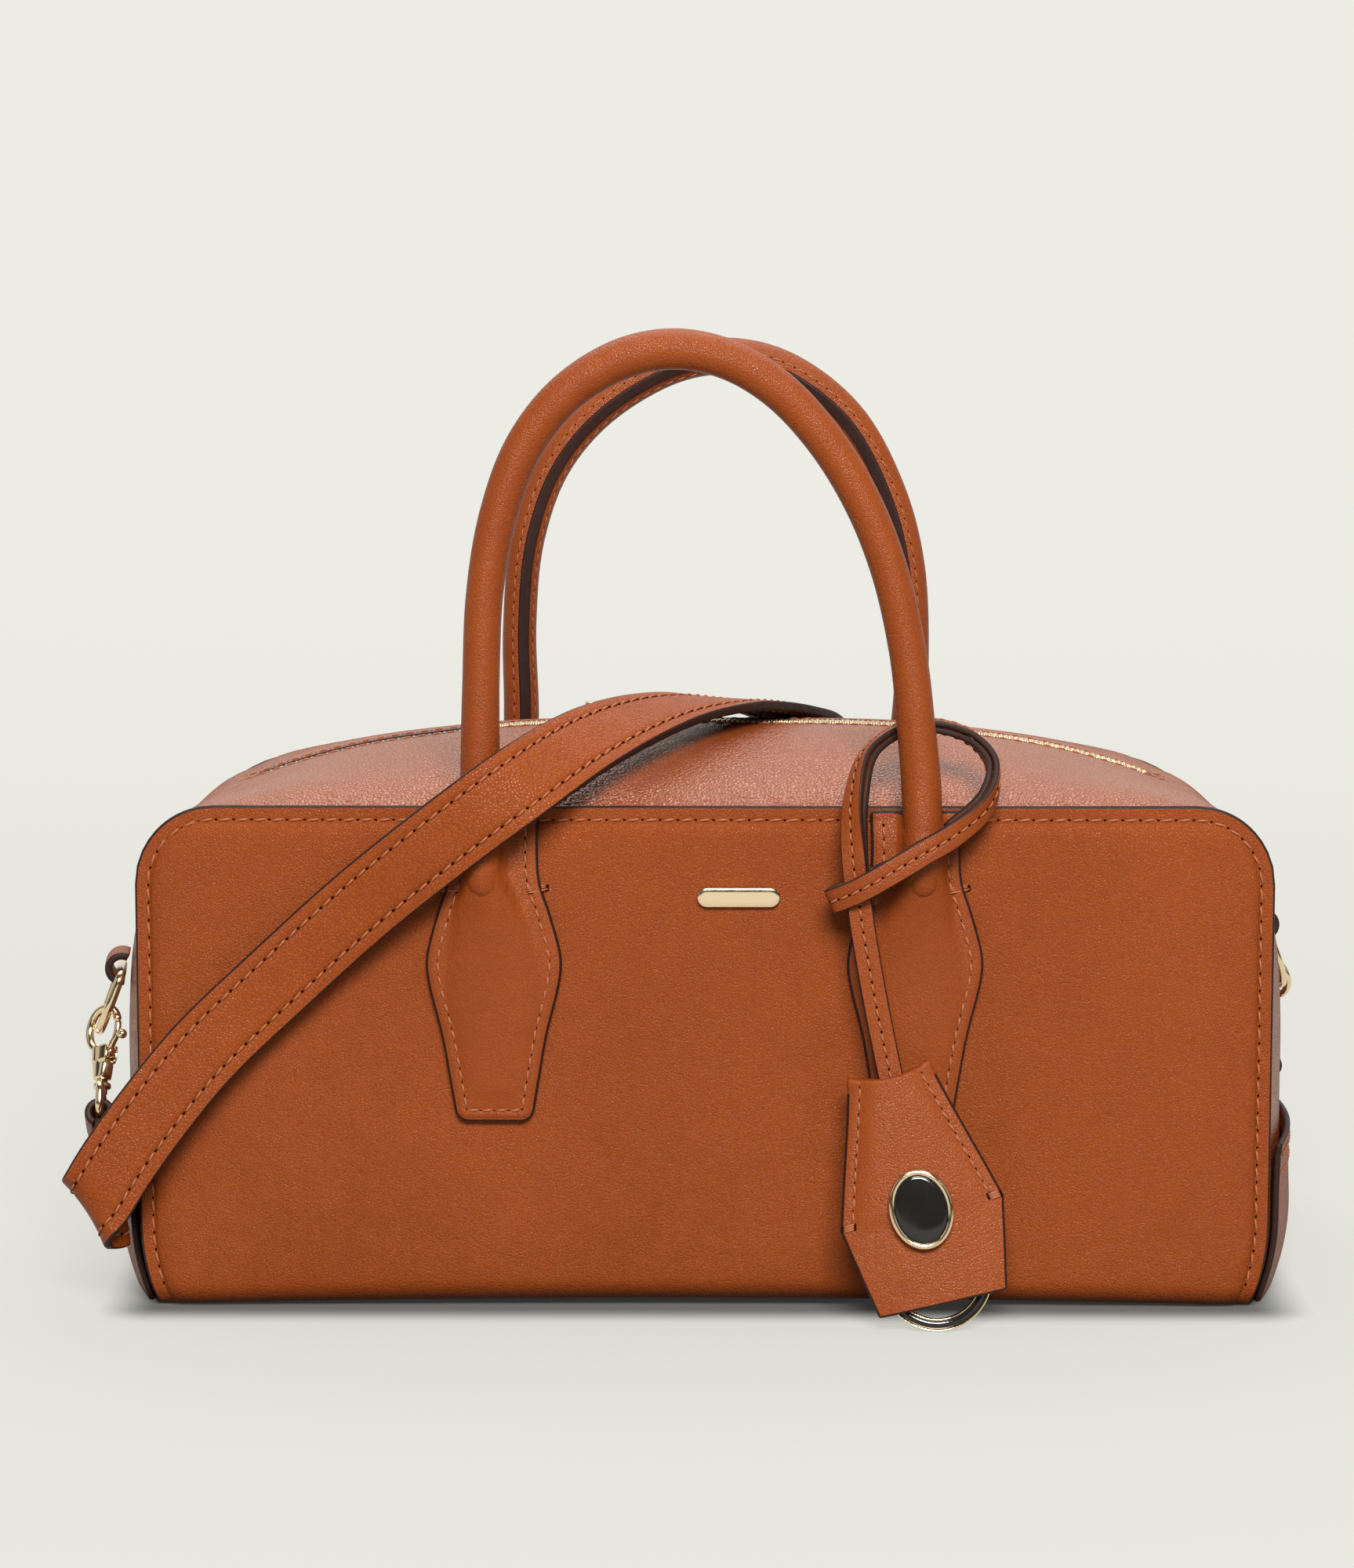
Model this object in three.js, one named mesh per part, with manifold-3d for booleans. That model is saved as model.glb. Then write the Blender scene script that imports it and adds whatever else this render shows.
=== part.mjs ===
// A small structured leather bag with two rolled handles, a shoulder strap and a bell charm.
// Millimetres, +Z up. The front faces -Y, and the origin lies in the middle of the base, on the floor.
import * as THREE from 'three';
import * as BufferGeometryUtils from 'three/addons/utils/BufferGeometryUtils.js';
import Module from 'manifold-3d';

const wasm = await Module();
wasm.setup();

// Driving dimensions of the bag
const PANEL_WIDTH = 307;
const PANEL_HEIGHT = 138;
const BAG_DEPTH = 124;
const LEATHER = 2.2;
const GAP = 0.3;
const TOP_CORNER = 21;
const BACK_CORNER = 35;
const SLUMP_START = 14;
const BASE_CORNER = 7;
const TUCK = 5;
const TUCK_HEIGHT = 24;
const BILLOW = 3;
const EDGE_LIFT = 2.4;
const EDGE_PROUD = 1.2;
const BULGE_POWER = 1.9;

// How far the gusset stands out from the panel's outline at mid-depth, by the length along that
// outline from the floor (along) to the middle of the top
const GUSSET_CROWN = [
  { along: 0, out: 12 },
  { along: 24, out: 10.8 },
  { along: 46, out: 9.6 },
  { along: 75, out: 9.2 },
  { along: 97, out: 7 },
  { along: 116, out: 1 },
  { along: 133, out: -3.5 },
  { along: 149, out: 0 },
  { along: 165, out: 5.6 },
  { along: 183, out: 10.4 },
  { along: 201, out: 13.5 },
  { along: 232, out: 16.8 },
  { along: 283, out: 17.6 },
];
const GUSSET_COLUMNS = [-1, -0.9, -0.7, -0.45, -0.22, -0.066, 0.066, 0.22, 0.45, 0.7, 0.9, 1];

// Zip
const ZIP_HALF_LENGTH = 127;
const TEETH_HALF_WIDTH = 2.6;
const TEETH_THICK = 3;
const TEETH_DROP = 0.2;
const TAPE_THICK = 1;
const TAPE_REACH = 9.6;
const SLIDER = { x: -13, length: 12, width: 8, height: 5.2, pull: 20, pullWidth: 5, pullThick: 1.6 };

// Leather overlay on the lower part of each side
const END_PANEL = { top: 44, bottom: 0.6, reach: 0.9, thick: 1.8, lip: 1, clear: 0.45, steps: 6 };

// Handles: the rolled tube's middle line in the handle's own plane, then its radius
const HANDLE_PLANE = 67.6;
const FRONT_HANDLE = [
  { x: -57.5, z: 84, radius: 2 },
  { x: -58.5, z: 104, radius: 3.4 },
  { x: -59.6, z: 124, radius: 5.1 },
  { x: -60.1, z: 145, radius: 5.4 },
  { x: -59.8, z: 172, radius: 5 },
  { x: -58.6, z: 197, radius: 5 },
  { x: -54.9, z: 217.5, radius: 5.1 },
  { x: -48.1, z: 235.4, radius: 5.2 },
  { x: -37.3, z: 249.2, radius: 5.3 },
  { x: -22.7, z: 258.4, radius: 5.5 },
  { x: -8.8, z: 261.3, radius: 5.5 },
  { x: 5.4, z: 258.8, radius: 5.4 },
  { x: 18.9, z: 251, radius: 5.3 },
  { x: 31.4, z: 237.8, radius: 5.2 },
  { x: 41.9, z: 220.8, radius: 5.1 },
  { x: 49.3, z: 202.1, radius: 5 },
  { x: 54.3, z: 180, radius: 5 },
  { x: 56.6, z: 160, radius: 5.2 },
  { x: 58, z: 145, radius: 5.4 },
  { x: 58.5, z: 124, radius: 5.1 },
  { x: 57.8, z: 104, radius: 3.4 },
  { x: 57, z: 84, radius: 2 },
];
const BACK_HANDLE = [
  { x: -57, z: 84, radius: 2 },
  { x: -56.6, z: 104, radius: 3.4 },
  { x: -56, z: 124, radius: 5.1 },
  { x: -55, z: 150, radius: 5.3 },
  { x: -55.4, z: 176, radius: 5 },
  { x: -52.9, z: 202, radius: 5 },
  { x: -45.1, z: 224, radius: 5.1 },
  { x: -31, z: 241, radius: 5.3 },
  { x: -9.1, z: 254, radius: 5.5 },
  { x: 8, z: 256.5, radius: 5.5 },
  { x: 24, z: 252.5, radius: 5.4 },
  { x: 42, z: 239, radius: 5.2 },
  { x: 54, z: 218.3, radius: 5.1 },
  { x: 60.6, z: 195, radius: 5 },
  { x: 62, z: 162, radius: 5.1 },
  { x: 60.8, z: 142, radius: 5.4 },
  { x: 59.4, z: 124, radius: 5.1 },
  { x: 58, z: 104, radius: 3.4 },
  { x: 57, z: 84, radius: 2 },
];
const TUBE_SIDES = 10;
const TAB_CENTRE = 56.8;
const TAB_THICK = 2.6;
const TAB_OUTLINE = [
  { z: 53.6, half: 9.7 },
  { z: 65, half: 11.6 },
  { z: 77, half: 13.7 },
  { z: 90, half: 16.9 },
  { z: 96, half: 17.7 },
  { z: 101, half: 17.1 },
  { z: 110.6, half: 14.4 },
  { z: 118, half: 12 },
  { z: 126, half: 11.3 },
  { z: 137, half: 11.5 },
];

// Side hardware, given for the right side; the left side is the same turned half round about Z
const ANCHOR = { left: [163.2, 24, 88.6], right: [162.3, 31, 92.6], turn: 0.11 };
const LOOP = { radius: 3.6, width: 14, thick: 2.2, from: -1.7, to: 2.1, steps: 12 };
const RING = {
  wire: 1.25, halfWidth: 10.5, height: 18.5, corner: 3, lean: 0.36, drop: 0.9, steps: 28, sides: 6,
};
const HOOK = {
  onRing: 0.47, claw: 6.2, wire: 1.15, twist: 0.85, lean: [0.03, 0.45, -0.89], steps: 14, sides: 6,
};
const HOOK_SEAT = { across: 1.4, along: 0.4 };
const TAIL = { top: -5.6, slope: 1.2, bottom: -14.6, halfTop: 4, halfBottom: 2.4, shoulder: 3, thick: 4.4 };
const NECK = {
  radius: 1.5, root: 1, bottom: -18.8, flange: 2.5, flangeTop: -15.8, flangeBottom: -17.2, sides: 10,
};
const BAIL = { innerHalf: 11.2, wire: 1.2, top: -18.8, bar: -26.6 };
const GATE = {
  p: -2.6, q: -7.1, boss: 1.8, thick: 2.2, slot: 2.8, notch: 2.2, wire: 1,
  from: 3.98, to: 3.04, clear: 0.25, steps: 6, sides: 16,
};
const GATE_KNOB = { angle: 3.5, stem: 0.9, ball: 1.4, out: 8.6 };

// Shoulder strap: middle line, and the direction across its width (ax, ay, az)
const STRAP = { width: 21, thick: 3, eye: 3.6, eyeSides: 12, start: 2.9, stepsPerRow: 2 };
const STRAP_ROUTE = [
  { x: -165.4, y: -51.4, z: 33.4, ax: 0, ay: 0.7, az: -0.71 },
  { x: -161.8, y: -57.8, z: 29.4, ax: 0.05, ay: 0.38, az: -0.92 },
  { x: -159.4, y: -64, z: 28, ax: 0.14, ay: 0.06, az: -0.98 },
  { x: -163.4, y: -68.2, z: 28.6, ax: 0.33, ay: -0.25, az: -0.91 },
  { x: -165.6, y: -71, z: 29.2, ax: 0.51, ay: -0.39, az: -0.76 },
  { x: -165.5, y: -74.2, z: 31.4, ax: 0.66, ay: -0.25, az: -0.71 },
  { x: -163.6, y: -75.6, z: 34.4, ax: 0.8, ay: -0.05, az: -0.6 },
  { x: -158.7, y: -75.4, z: 42.4, ax: 0.82, ay: 0, az: -0.57 },
  { x: -149.3, y: -73.8, z: 55.6, ax: 0.78, ay: 0, az: -0.63 },
  { x: -135, y: -71.8, z: 73, ax: 0.72, ay: 0, az: -0.69 },
  { x: -113.5, y: -71.4, z: 93.6, ax: 0.69, ay: 0, az: -0.72 },
  { x: -92.1, y: -73.4, z: 113.2, ax: 0.67, ay: 0, az: -0.74 },
  { x: -70.9, y: -77, z: 130.6, ax: 0.66, ay: 0, az: -0.75 },
  { x: -49.8, y: -76.6, z: 146.1, ax: 0.68, ay: -0.08, az: -0.7 },
  { x: -29.5, y: -55, z: 156.8, ax: 0.72, ay: -0.38, az: -0.53 },
  { x: -9.6, y: -31, z: 161.8, ax: 0.77, ay: -0.57, az: -0.25 },
  { x: 7.6, y: -8, z: 160.8, ax: 0.84, ay: -0.54, az: 0 },
  { x: 23.6, y: 25, z: 154.6, ax: 0.92, ay: -0.38, az: 0.08 },
  { x: 32, y: 55.8, z: 146.4, ax: 0.95, ay: -0.2, az: 0.2 },
  { x: 38.6, y: 71.4, z: 135.4, ax: 0.9, ay: -0.06, az: 0.42 },
  { x: 47.6, y: 77, z: 122, ax: 0.78, ay: 0, az: 0.62 },
  { x: 61, y: 78, z: 109.6, ax: 0.62, ay: 0, az: 0.78 },
  { x: 86, y: 74.6, z: 95.4, ax: 0.48, ay: 0, az: 0.88 },
  { x: 114, y: 71.9, z: 83, ax: 0.46, ay: 0, az: 0.88 },
  { x: 136, y: 72.4, z: 70, ax: 0.6, ay: 0, az: 0.8 },
  { x: 147.3, y: 75.4, z: 59.4, ax: 0.74, ay: 0, az: 0.67 },
  { x: 155.5, y: 77.6, z: 46.4, ax: 0.82, ay: 0, az: 0.57 },
  { x: 161.2, y: 78.4, z: 38.4, ax: 0.8, ay: -0.05, az: 0.6 },
  { x: 163.6, y: 77.4, z: 35.4, ax: 0.66, ay: -0.25, az: 0.71 },
  { x: 164.4, y: 74.8, z: 33.2, ax: 0.51, ay: -0.39, az: 0.76 },
  { x: 163.2, y: 72.4, z: 32.7, ax: 0.33, ay: -0.25, az: 0.91 },
  { x: 161.2, y: 69, z: 32.2, ax: 0.14, ay: 0.06, az: 0.98 },
  { x: 162.2, y: 64, z: 33.4, ax: 0.05, ay: 0.38, az: 0.92 },
  { x: 164.6, y: 58.4, z: 37.4, ax: 0, ay: 0.7, az: 0.71 },
];

// Charm: the doubled thong's middle line, the direction across its width and its thickness
const THONG_WIDTH = 6.8;
const THONG_STEPS = 2;
const THONG_ROUTE = [
  { x: 58.6, y: -82.4, z: 29.9, ax: 0.97, ay: 0, az: 0.23, thick: 3.6 },
  { x: 54, y: -79.2, z: 50, ax: 0.97, ay: 0, az: 0.23, thick: 3.6 },
  { x: 49.7, y: -76.4, z: 68.5, ax: 0.98, ay: 0, az: 0.2, thick: 3.6 },
  { x: 46.5, y: -75.8, z: 84, ax: 0.98, ay: 0, az: 0.2, thick: 3.8 },
  { x: 44, y: -75.8, z: 97.3, ax: 0.99, ay: 0, az: 0.15, thick: 3.8 },
  { x: 41.6, y: -75.8, z: 112, ax: 0.99, ay: 0, az: 0.12, thick: 3.8 },
  { x: 40, y: -75.6, z: 128, ax: 0.94, ay: -0.34, az: 0, thick: 3.8 },
  { x: 40.4, y: -73, z: 142, ax: 0.6, ay: -0.8, az: 0, thick: 3.8 },
  { x: 44.6, y: -65, z: 154, ax: 0.1, ay: -0.99, az: 0, thick: 3.8 },
  { x: 56.5, y: -57.8, z: 160, ax: 0, ay: -1, az: 0, thick: 3.8 },
  { x: 70, y: -59.5, z: 158, ax: 0, ay: -1, az: 0, thick: 3.8 },
  { x: 77, y: -66, z: 150.7, ax: 0, ay: -0.95, az: 0.3, thick: 3.8 },
  { x: 75.2, y: -72, z: 141.3, ax: -0.3, ay: -0.6, az: 0.74, thick: 3.8 },
  { x: 66, y: -76.5, z: 133, ax: -0.5, ay: -0.2, az: 0.83, thick: 3.8 },
  { x: 58, y: -79.2, z: 128.3, ax: -0.52, ay: 0, az: 0.85, thick: 3.2 },
  { x: 50, y: -80.6, z: 123.6, ax: -0.5, ay: 0, az: 0.86, thick: 2.2 },
  { x: 41, y: -80, z: 118.4, ax: -0.45, ay: 0, az: 0.89, thick: 2 },
  { x: 34, y: -76, z: 115, ax: -0.4, ay: 0, az: 0.91, thick: 2 },
  { x: 40, y: -72, z: 117.6, ax: -0.42, ay: 0, az: 0.9, thick: 2 },
  { x: 49.5, y: -71.4, z: 122, ax: -0.42, ay: 0, az: 0.9, thick: 2 },
];
const BELL_TOP = [49.65, -76.3, 67.9];
const BELL_BOTTOM = [64, -86, 7.4];
const BELL_LEATHER = 2;
const BELL_OUTLINE = [
  { down: 0, half: 10.7, edge: 0.15, spread: 2.9 },
  { down: 12, half: 14.1, edge: 0.15, spread: 2.9 },
  { down: 25, half: 18, edge: 0.15, spread: 2.9 },
  { down: 37.9, half: 21.7, edge: 0.5, spread: 2.5 },
  { down: 50, half: 19.4, edge: 1.5, spread: 1.6 },
  { down: 62, half: 17, edge: 1.7, spread: 1.5 },
];
const CHARM_RING = { down: 55, outer: 15, band: 3.6, thick: 2.2, sides: 18 };
const EMBLEM = {
  down: 36.5, halfWidth: 8.6, halfHeight: 10.8, thick: 1.8, rim: 1.5, recess: 0.6, segments: 14,
};
const FRONT_BAR = { x: 9.2, z: 114.3, length: 22.5, height: 5.4, thick: 1.6, segments: 8 };

// Colours of the finishes
function finish(color, roughness, metalness) {
  return new THREE.MeshStandardMaterial({ color, roughness, metalness });
}
const tanLeather = finish(0x9a4a1e, 0.5, 0);
const goldMetal = finish(0xd9b56a, 0.22, 1);
const tapeCloth = finish(0x3a1f14, 0.85, 0);
const blackEnamel = finish(0x15120f, 0.2, 0.1);

const vector = (x, y, z) => new THREE.Vector3(x, y, z);

// A closed mesh from points and triangles, turned so that its faces point out
function closedGeometry(points, triangles) {
  const volume = triangles.reduce((sum, [a, b, c]) => {
    const cross = points[b].clone().cross(points[c]);
    return sum + points[a].dot(cross);
  }, 0);
  const index = triangles.flatMap(([a, b, c]) => (volume > 0 ? [a, b, c] : [a, c, b]));
  const geometry = new THREE.BufferGeometry();
  geometry.setAttribute('position', new THREE.Float32BufferAttribute(points.flatMap((p) => p.toArray()), 3));
  geometry.setIndex(index);
  return geometry;
}

// A wall between an outer and an inner grid of points. Cells that open(row, column) names are left out.
function wall(outer, inner, open = () => false) {
  const rows = outer.length;
  const columns = outer[0].length;
  const points = [...outer.flat(), ...inner.flat()];
  const outside = (i, j) => i * columns + j;
  const inside = (i, j) => rows * columns + i * columns + j;
  const filled = (i, j) => i >= 0 && j >= 0 && i < rows - 1 && j < columns - 1 && !open(i, j);
  const triangles = [];
  const quad = (a, b, c, d) => triangles.push([a, b, c], [a, c, d]);
  for (let i = 0; i < rows - 1; i += 1) {
    for (let j = 0; j < columns - 1; j += 1) {
      if (!filled(i, j)) continue;
      const corners = [[i, j], [i + 1, j], [i + 1, j + 1], [i, j + 1]];
      const beside = [[i, j - 1], [i + 1, j], [i, j + 1], [i - 1, j]];
      quad(...corners.map(([r, c]) => outside(r, c)));
      quad(...corners.map(([r, c]) => inside(r, c)).reverse());
      corners.forEach(([r, c], side) => {
        if (filled(...beside[side])) return;
        const [nextRow, nextColumn] = corners[(side + 1) % 4];
        quad(outside(nextRow, nextColumn), outside(r, c), inside(r, c), inside(nextRow, nextColumn));
      });
    }
  }
  return BufferGeometryUtils.mergeVertices(closedGeometry(points, triangles), 1e-4);
}

// The grid moved along its own normals by a distance, towards the side that the point away is not on
function offsetGrid(grid, distance, away) {
  const rows = grid.length;
  const columns = grid[0].length;
  return grid.map((row, i) => row.map((point, j) => {
    const alongRows = grid[Math.min(i + 1, rows - 1)][j].clone().sub(grid[Math.max(i - 1, 0)][j]);
    const alongColumns = row[Math.min(j + 1, columns - 1)].clone().sub(row[Math.max(j - 1, 0)]);
    const normal = alongRows.cross(alongColumns).normalize();
    if (normal.dot(away(point)) > 0) normal.negate();
    return point.clone().addScaledVector(normal, distance);
  }));
}

// A skin over rings of points, closed on itself or capped at both ends
function sweep(rings, closed = false) {
  const count = rings[0].length;
  const points = rings.flat();
  const triangles = [];
  const steps = closed ? rings.length : rings.length - 1;
  for (let i = 0; i < steps; i += 1) {
    const next = (i + 1) % rings.length;
    for (let j = 0; j < count; j += 1) {
      const beside = (j + 1) % count;
      const [a, b] = [i * count + j, i * count + beside];
      const [c, d] = [next * count + beside, next * count + j];
      triangles.push([a, b, c], [a, c, d]);
    }
  }
  if (!closed) {
    const last = (rings.length - 1) * count;
    for (let j = 1; j < count - 1; j += 1) {
      triangles.push([0, j + 1, j], [last, last + j, last + j + 1]);
    }
  }
  return closedGeometry(points, triangles);
}

// A round tube of given radii along points that lie in the plane with the given normal
function tube(points, radii, planeNormal, sides, closed = false) {
  const rings = points.map((point, i) => {
    const before = points[closed ? (i - 1 + points.length) % points.length : Math.max(i - 1, 0)];
    const after = points[closed ? (i + 1) % points.length : Math.min(i + 1, points.length - 1)];
    const side = after.clone().sub(before).cross(planeNormal).normalize();
    return Array.from({ length: sides }, (_, k) => {
      const angle = (2 * Math.PI * (k + 0.5)) / sides;
      return point.clone()
        .addScaledVector(side, radii[i] * Math.cos(angle))
        .addScaledVector(planeNormal, radii[i] * Math.sin(angle));
    });
  });
  return sweep(rings, closed);
}

// A flat ribbon through the rows of a route, with its width along each row's own direction
function ribbon(route, width, thickness, stepsPerRow) {
  const curve = new THREE.CatmullRomCurve3(route.map((r) => vector(r.x, r.y, r.z)), false, 'centripetal');
  const across = route.map((r) => vector(r.ax, r.ay, r.az));
  const steps = (route.length - 1) * stepsPerRow;
  const rings = Array.from({ length: steps + 1 }, (_, i) => {
    const place = i / stepsPerRow;
    const row = Math.min(Math.floor(place), route.length - 2);
    const part = place - row;
    const tangent = curve.getTangent(i / steps);
    const side = across[row].clone().lerp(across[row + 1], part);
    side.addScaledVector(tangent, -side.dot(tangent)).normalize();
    const normal = tangent.clone().cross(side);
    const half = THREE.MathUtils.lerp(thickness(route[row]), thickness(route[row + 1]), part) / 2;
    const centre = curve.getPoint(i / steps);
    return [[1, 1], [-1, 1], [-1, -1], [1, -1]].map(([s, n]) => centre.clone()
      .addScaledVector(side, (s * width) / 2)
      .addScaledVector(normal, n * half));
  });
  return sweep(rings);
}

// Between three.js geometry and solids that can be joined and cut
function solid(geometry) {
  const bare = geometry.clone();
  bare.deleteAttribute('normal');
  bare.deleteAttribute('uv');
  const merged = BufferGeometryUtils.mergeVertices(bare, 1e-4);
  return new wasm.Manifold(new wasm.Mesh({
    numProp: 3,
    vertProperties: new Float32Array(merged.attributes.position.array),
    triVerts: new Uint32Array(merged.index.array),
  }));
}

function geometryOf(body) {
  const mesh = body.getMesh();
  const geometry = new THREE.BufferGeometry();
  geometry.setAttribute('position', new THREE.BufferAttribute(new Float32Array(mesh.vertProperties), 3));
  geometry.setIndex(new THREE.BufferAttribute(new Uint32Array(mesh.triVerts), 1));
  return geometry;
}

const join = (...geometries) => geometryOf(geometries.map(solid).reduce((all, next) => all.add(next)));

function named(name, geometry, material) {
  const mesh = new THREE.Mesh(geometry, material);
  mesh.name = name;
  return mesh;
}

// A value between the rows of a table, smooth through each row
function smoothValue(table, key, value, at) {
  const last = table.length - 1;
  if (at <= table[0][key]) return table[0][value];
  if (at >= table[last][key]) return table[last][value];
  const i = table.findIndex((row) => row[key] > at) - 1;
  const slope = (k) => {
    const [low, high] = [Math.max(k - 1, 0), Math.min(k + 1, last)];
    return (table[high][value] - table[low][value]) / (table[high][key] - table[low][key]);
  };
  const span = table[i + 1][key] - table[i][key];
  const t = (at - table[i][key]) / span;
  const [startShare, endShare] = [2 * t ** 3 - 3 * t ** 2 + 1, 3 * t ** 2 - 2 * t ** 3];
  const [startSlope, endSlope] = [(t ** 3 - 2 * t ** 2 + t) * span, (t ** 3 - t ** 2) * span];
  return startShare * table[i][value] + endShare * table[i + 1][value]
    + startSlope * slope(i) + endSlope * slope(i + 1);
}

// Bag body
const HALF_DEPTH = BAG_DEPTH / 2;
const INNER_DEPTH = HALF_DEPTH - LEATHER - GAP;
const SHOULDER = PANEL_HEIGHT - TOP_CORNER;
const TOP_HALF = PANEL_WIDTH / 2 - TOP_CORNER;
const CORNER_LENGTH = (TOP_CORNER * Math.PI) / 2;
const OUTLINE_LENGTH = SHOULDER + CORNER_LENGTH + TOP_HALF;
const FLAT_BASE = 44;
const LIFT_SPAN = 0.92;
const LIFT_FADE = 40;
const WRAP_COLUMNS = 14;
const clamp01 = (value) => THREE.MathUtils.clamp(value, 0, 1);

// Half the width of the front and back panels at a height
function panelHalfWidth(z) {
  if (z > SHOULDER) return TOP_HALF + Math.sqrt(Math.max(TOP_CORNER ** 2 - (z - SHOULDER) ** 2, 0));
  return PANEL_WIDTH / 2 - TUCK * clamp01(1 - z / TUCK_HEIGHT) ** 2;
}

// How far a panel's face swells past its edges
const swell = (share, z) => BILLOW * (1 - share ** 4) * (1 - ((2 * z) / PANEL_HEIGHT - 1) ** 4);
const faceDepth = (x, z) => HALF_DEPTH + swell(x / panelHalfWidth(z), z);

const crown = (along) => smoothValue(GUSSET_CROWN, 'along', 'out', along);
const acrossBulge = (share) => Math.max(1 - Math.abs(share) ** BULGE_POWER, 0);

// Places (y, z) along the wrap, from the top of the front, under the base, to the top of the back
function wrapProfile() {
  const cornerTurns = [90, 72, 52, 30, 0];
  const faceSteps = 6;
  const baseTurns = [0, 30, 60, 90];
  const radians = THREE.MathUtils.degToRad;
  const half = cornerTurns.map((turn) => [HALF_DEPTH, SHOULDER + TOP_CORNER * Math.sin(radians(turn))]);
  for (let i = 1; i < faceSteps; i += 1) {
    half.push([HALF_DEPTH, THREE.MathUtils.lerp(SHOULDER, BASE_CORNER, i / faceSteps)]);
  }
  baseTurns.forEach((turn) => {
    const angle = radians(turn);
    half.push([HALF_DEPTH - BASE_CORNER * (1 - Math.cos(angle)), BASE_CORNER * (1 - Math.sin(angle))]);
  });
  half.push([FLAT_BASE, 0], [FLAT_BASE / 2, 0]);
  const back = [...half].reverse();
  return [...half.map(([y, z]) => [-y, z]), [0, 0], ...back];
}

// The back panel's top corners are rounder than the front's. A point near one moves towards the middle of
// the rounder corner, not at all beside the zip and the whole way at the back.
function slump(point) {
  const [cornerX, cornerZ] = [PANEL_WIDTH / 2 - BACK_CORNER, PANEL_HEIGHT - BACK_CORNER];
  const [out, up] = [Math.abs(point.x) - cornerX, point.z - cornerZ];
  if (out <= 0 || up <= 0) return point;
  const length = Math.hypot(out, up);
  const inset = BACK_CORNER - TOP_CORNER;
  const diagonal = (inset * (out + up)) / length;
  const onArc = Math.min(out, up) / Math.max(out, up) > inset / BACK_CORNER;
  const edge = onArc
    ? diagonal + Math.sqrt(diagonal ** 2 - 2 * inset ** 2 + TOP_CORNER ** 2)
    : (BACK_CORNER * length) / Math.max(out, up);
  const shrink = 1 + (BACK_CORNER / edge - 1) * THREE.MathUtils.smoothstep(point.y, SLUMP_START, HALF_DEPTH);
  return vector(Math.sign(point.x) * (cornerX + out * shrink), point.y, cornerZ + up * shrink);
}

function wrapPoint(share, y, z) {
  const depth = Math.abs(y);
  const onFace = clamp01((depth - HALF_DEPTH + BASE_CORNER) / BASE_CORNER);
  const nearEdge = clamp01((depth - FLAT_BASE) / (HALF_DEPTH - FLAT_BASE)) * clamp01(1 - z / LIFT_FADE);
  const lift = EDGE_LIFT * Math.max(1 - (share / LIFT_SPAN) ** 2, 0) * nearEdge;
  const end = z < BASE_CORNER ? crown(0) * acrossBulge(Math.min(depth / INNER_DEPTH, 1)) : 0;
  const depthOut = y + Math.sign(y) * swell(share, z) * onFace;
  return slump(vector(share * (panelHalfWidth(z) + end), depthOut, z + lift));
}

function bodyWrap() {
  const outer = wrapProfile().map(([y, z]) => Array.from({ length: WRAP_COLUMNS + 1 }, (_, j) => (
    wrapPoint((2 * j) / WRAP_COLUMNS - 1, y, z))));
  const middle = vector(0, 0, PANEL_HEIGHT);
  const inner = offsetGrid(outer, LEATHER, (p) => vector(0, p.y, p.z - middle.z));
  return wall(outer, inner);
}

// Gusset: a point on its outer face, moved out from that face by lift
function gussetPoint(side, along, share, lift = 0) {
  const out = crown(along) * acrossBulge(share) - EDGE_PROUD * share ** 6 + lift;
  const y = share * INNER_DEPTH;
  if (along <= SHOULDER) {
    const rise = BASE_CORNER - LEATHER - GAP;
    const past = Math.min(Math.max(Math.abs(y) - HALF_DEPTH + BASE_CORNER, 0), rise);
    const seat = BASE_CORNER - Math.sqrt(rise ** 2 - past ** 2);
    const z = seat + (along / SHOULDER) * (SHOULDER - seat);
    return slump(vector(side * (panelHalfWidth(z) + out), y, z));
  }
  const angle = Math.min((along - SHOULDER) / TOP_CORNER, Math.PI / 2);
  const radius = TOP_CORNER + out;
  const run = Math.max(along - SHOULDER - CORNER_LENGTH, 0);
  const x = TOP_HALF - run + radius * Math.cos(angle);
  return slump(vector(side * x, y, SHOULDER + radius * Math.sin(angle)));
}

const ZIP_START = OUTLINE_LENGTH - ZIP_HALF_LENGTH;
const alongAt = (x) => OUTLINE_LENGTH - Math.abs(x);

// Lengths along the outline at which the gusset has rows, from the floor to the middle of the top
function gussetRows() {
  const sideSteps = 9;
  const cornerSteps = 4;
  const topSteps = 9;
  const between = (from, to, steps) => Array.from({ length: steps }, (_, i) => (
    THREE.MathUtils.lerp(from, to, i / steps)));
  return [
    ...between(0, SHOULDER, sideSteps),
    ...between(SHOULDER, SHOULDER + CORNER_LENGTH, cornerSteps),
    ...between(ZIP_START, OUTLINE_LENGTH, topSteps),
    OUTLINE_LENGTH,
  ];
}

// Both halves of a strip over the top, from the left end to the right end
function overTop(rows, shares, lift) {
  const half = (side) => rows.map((along) => shares.map((share) => gussetPoint(side, along, share, lift)));
  return [...half(-1), ...half(1).reverse().slice(1)];
}

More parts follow.
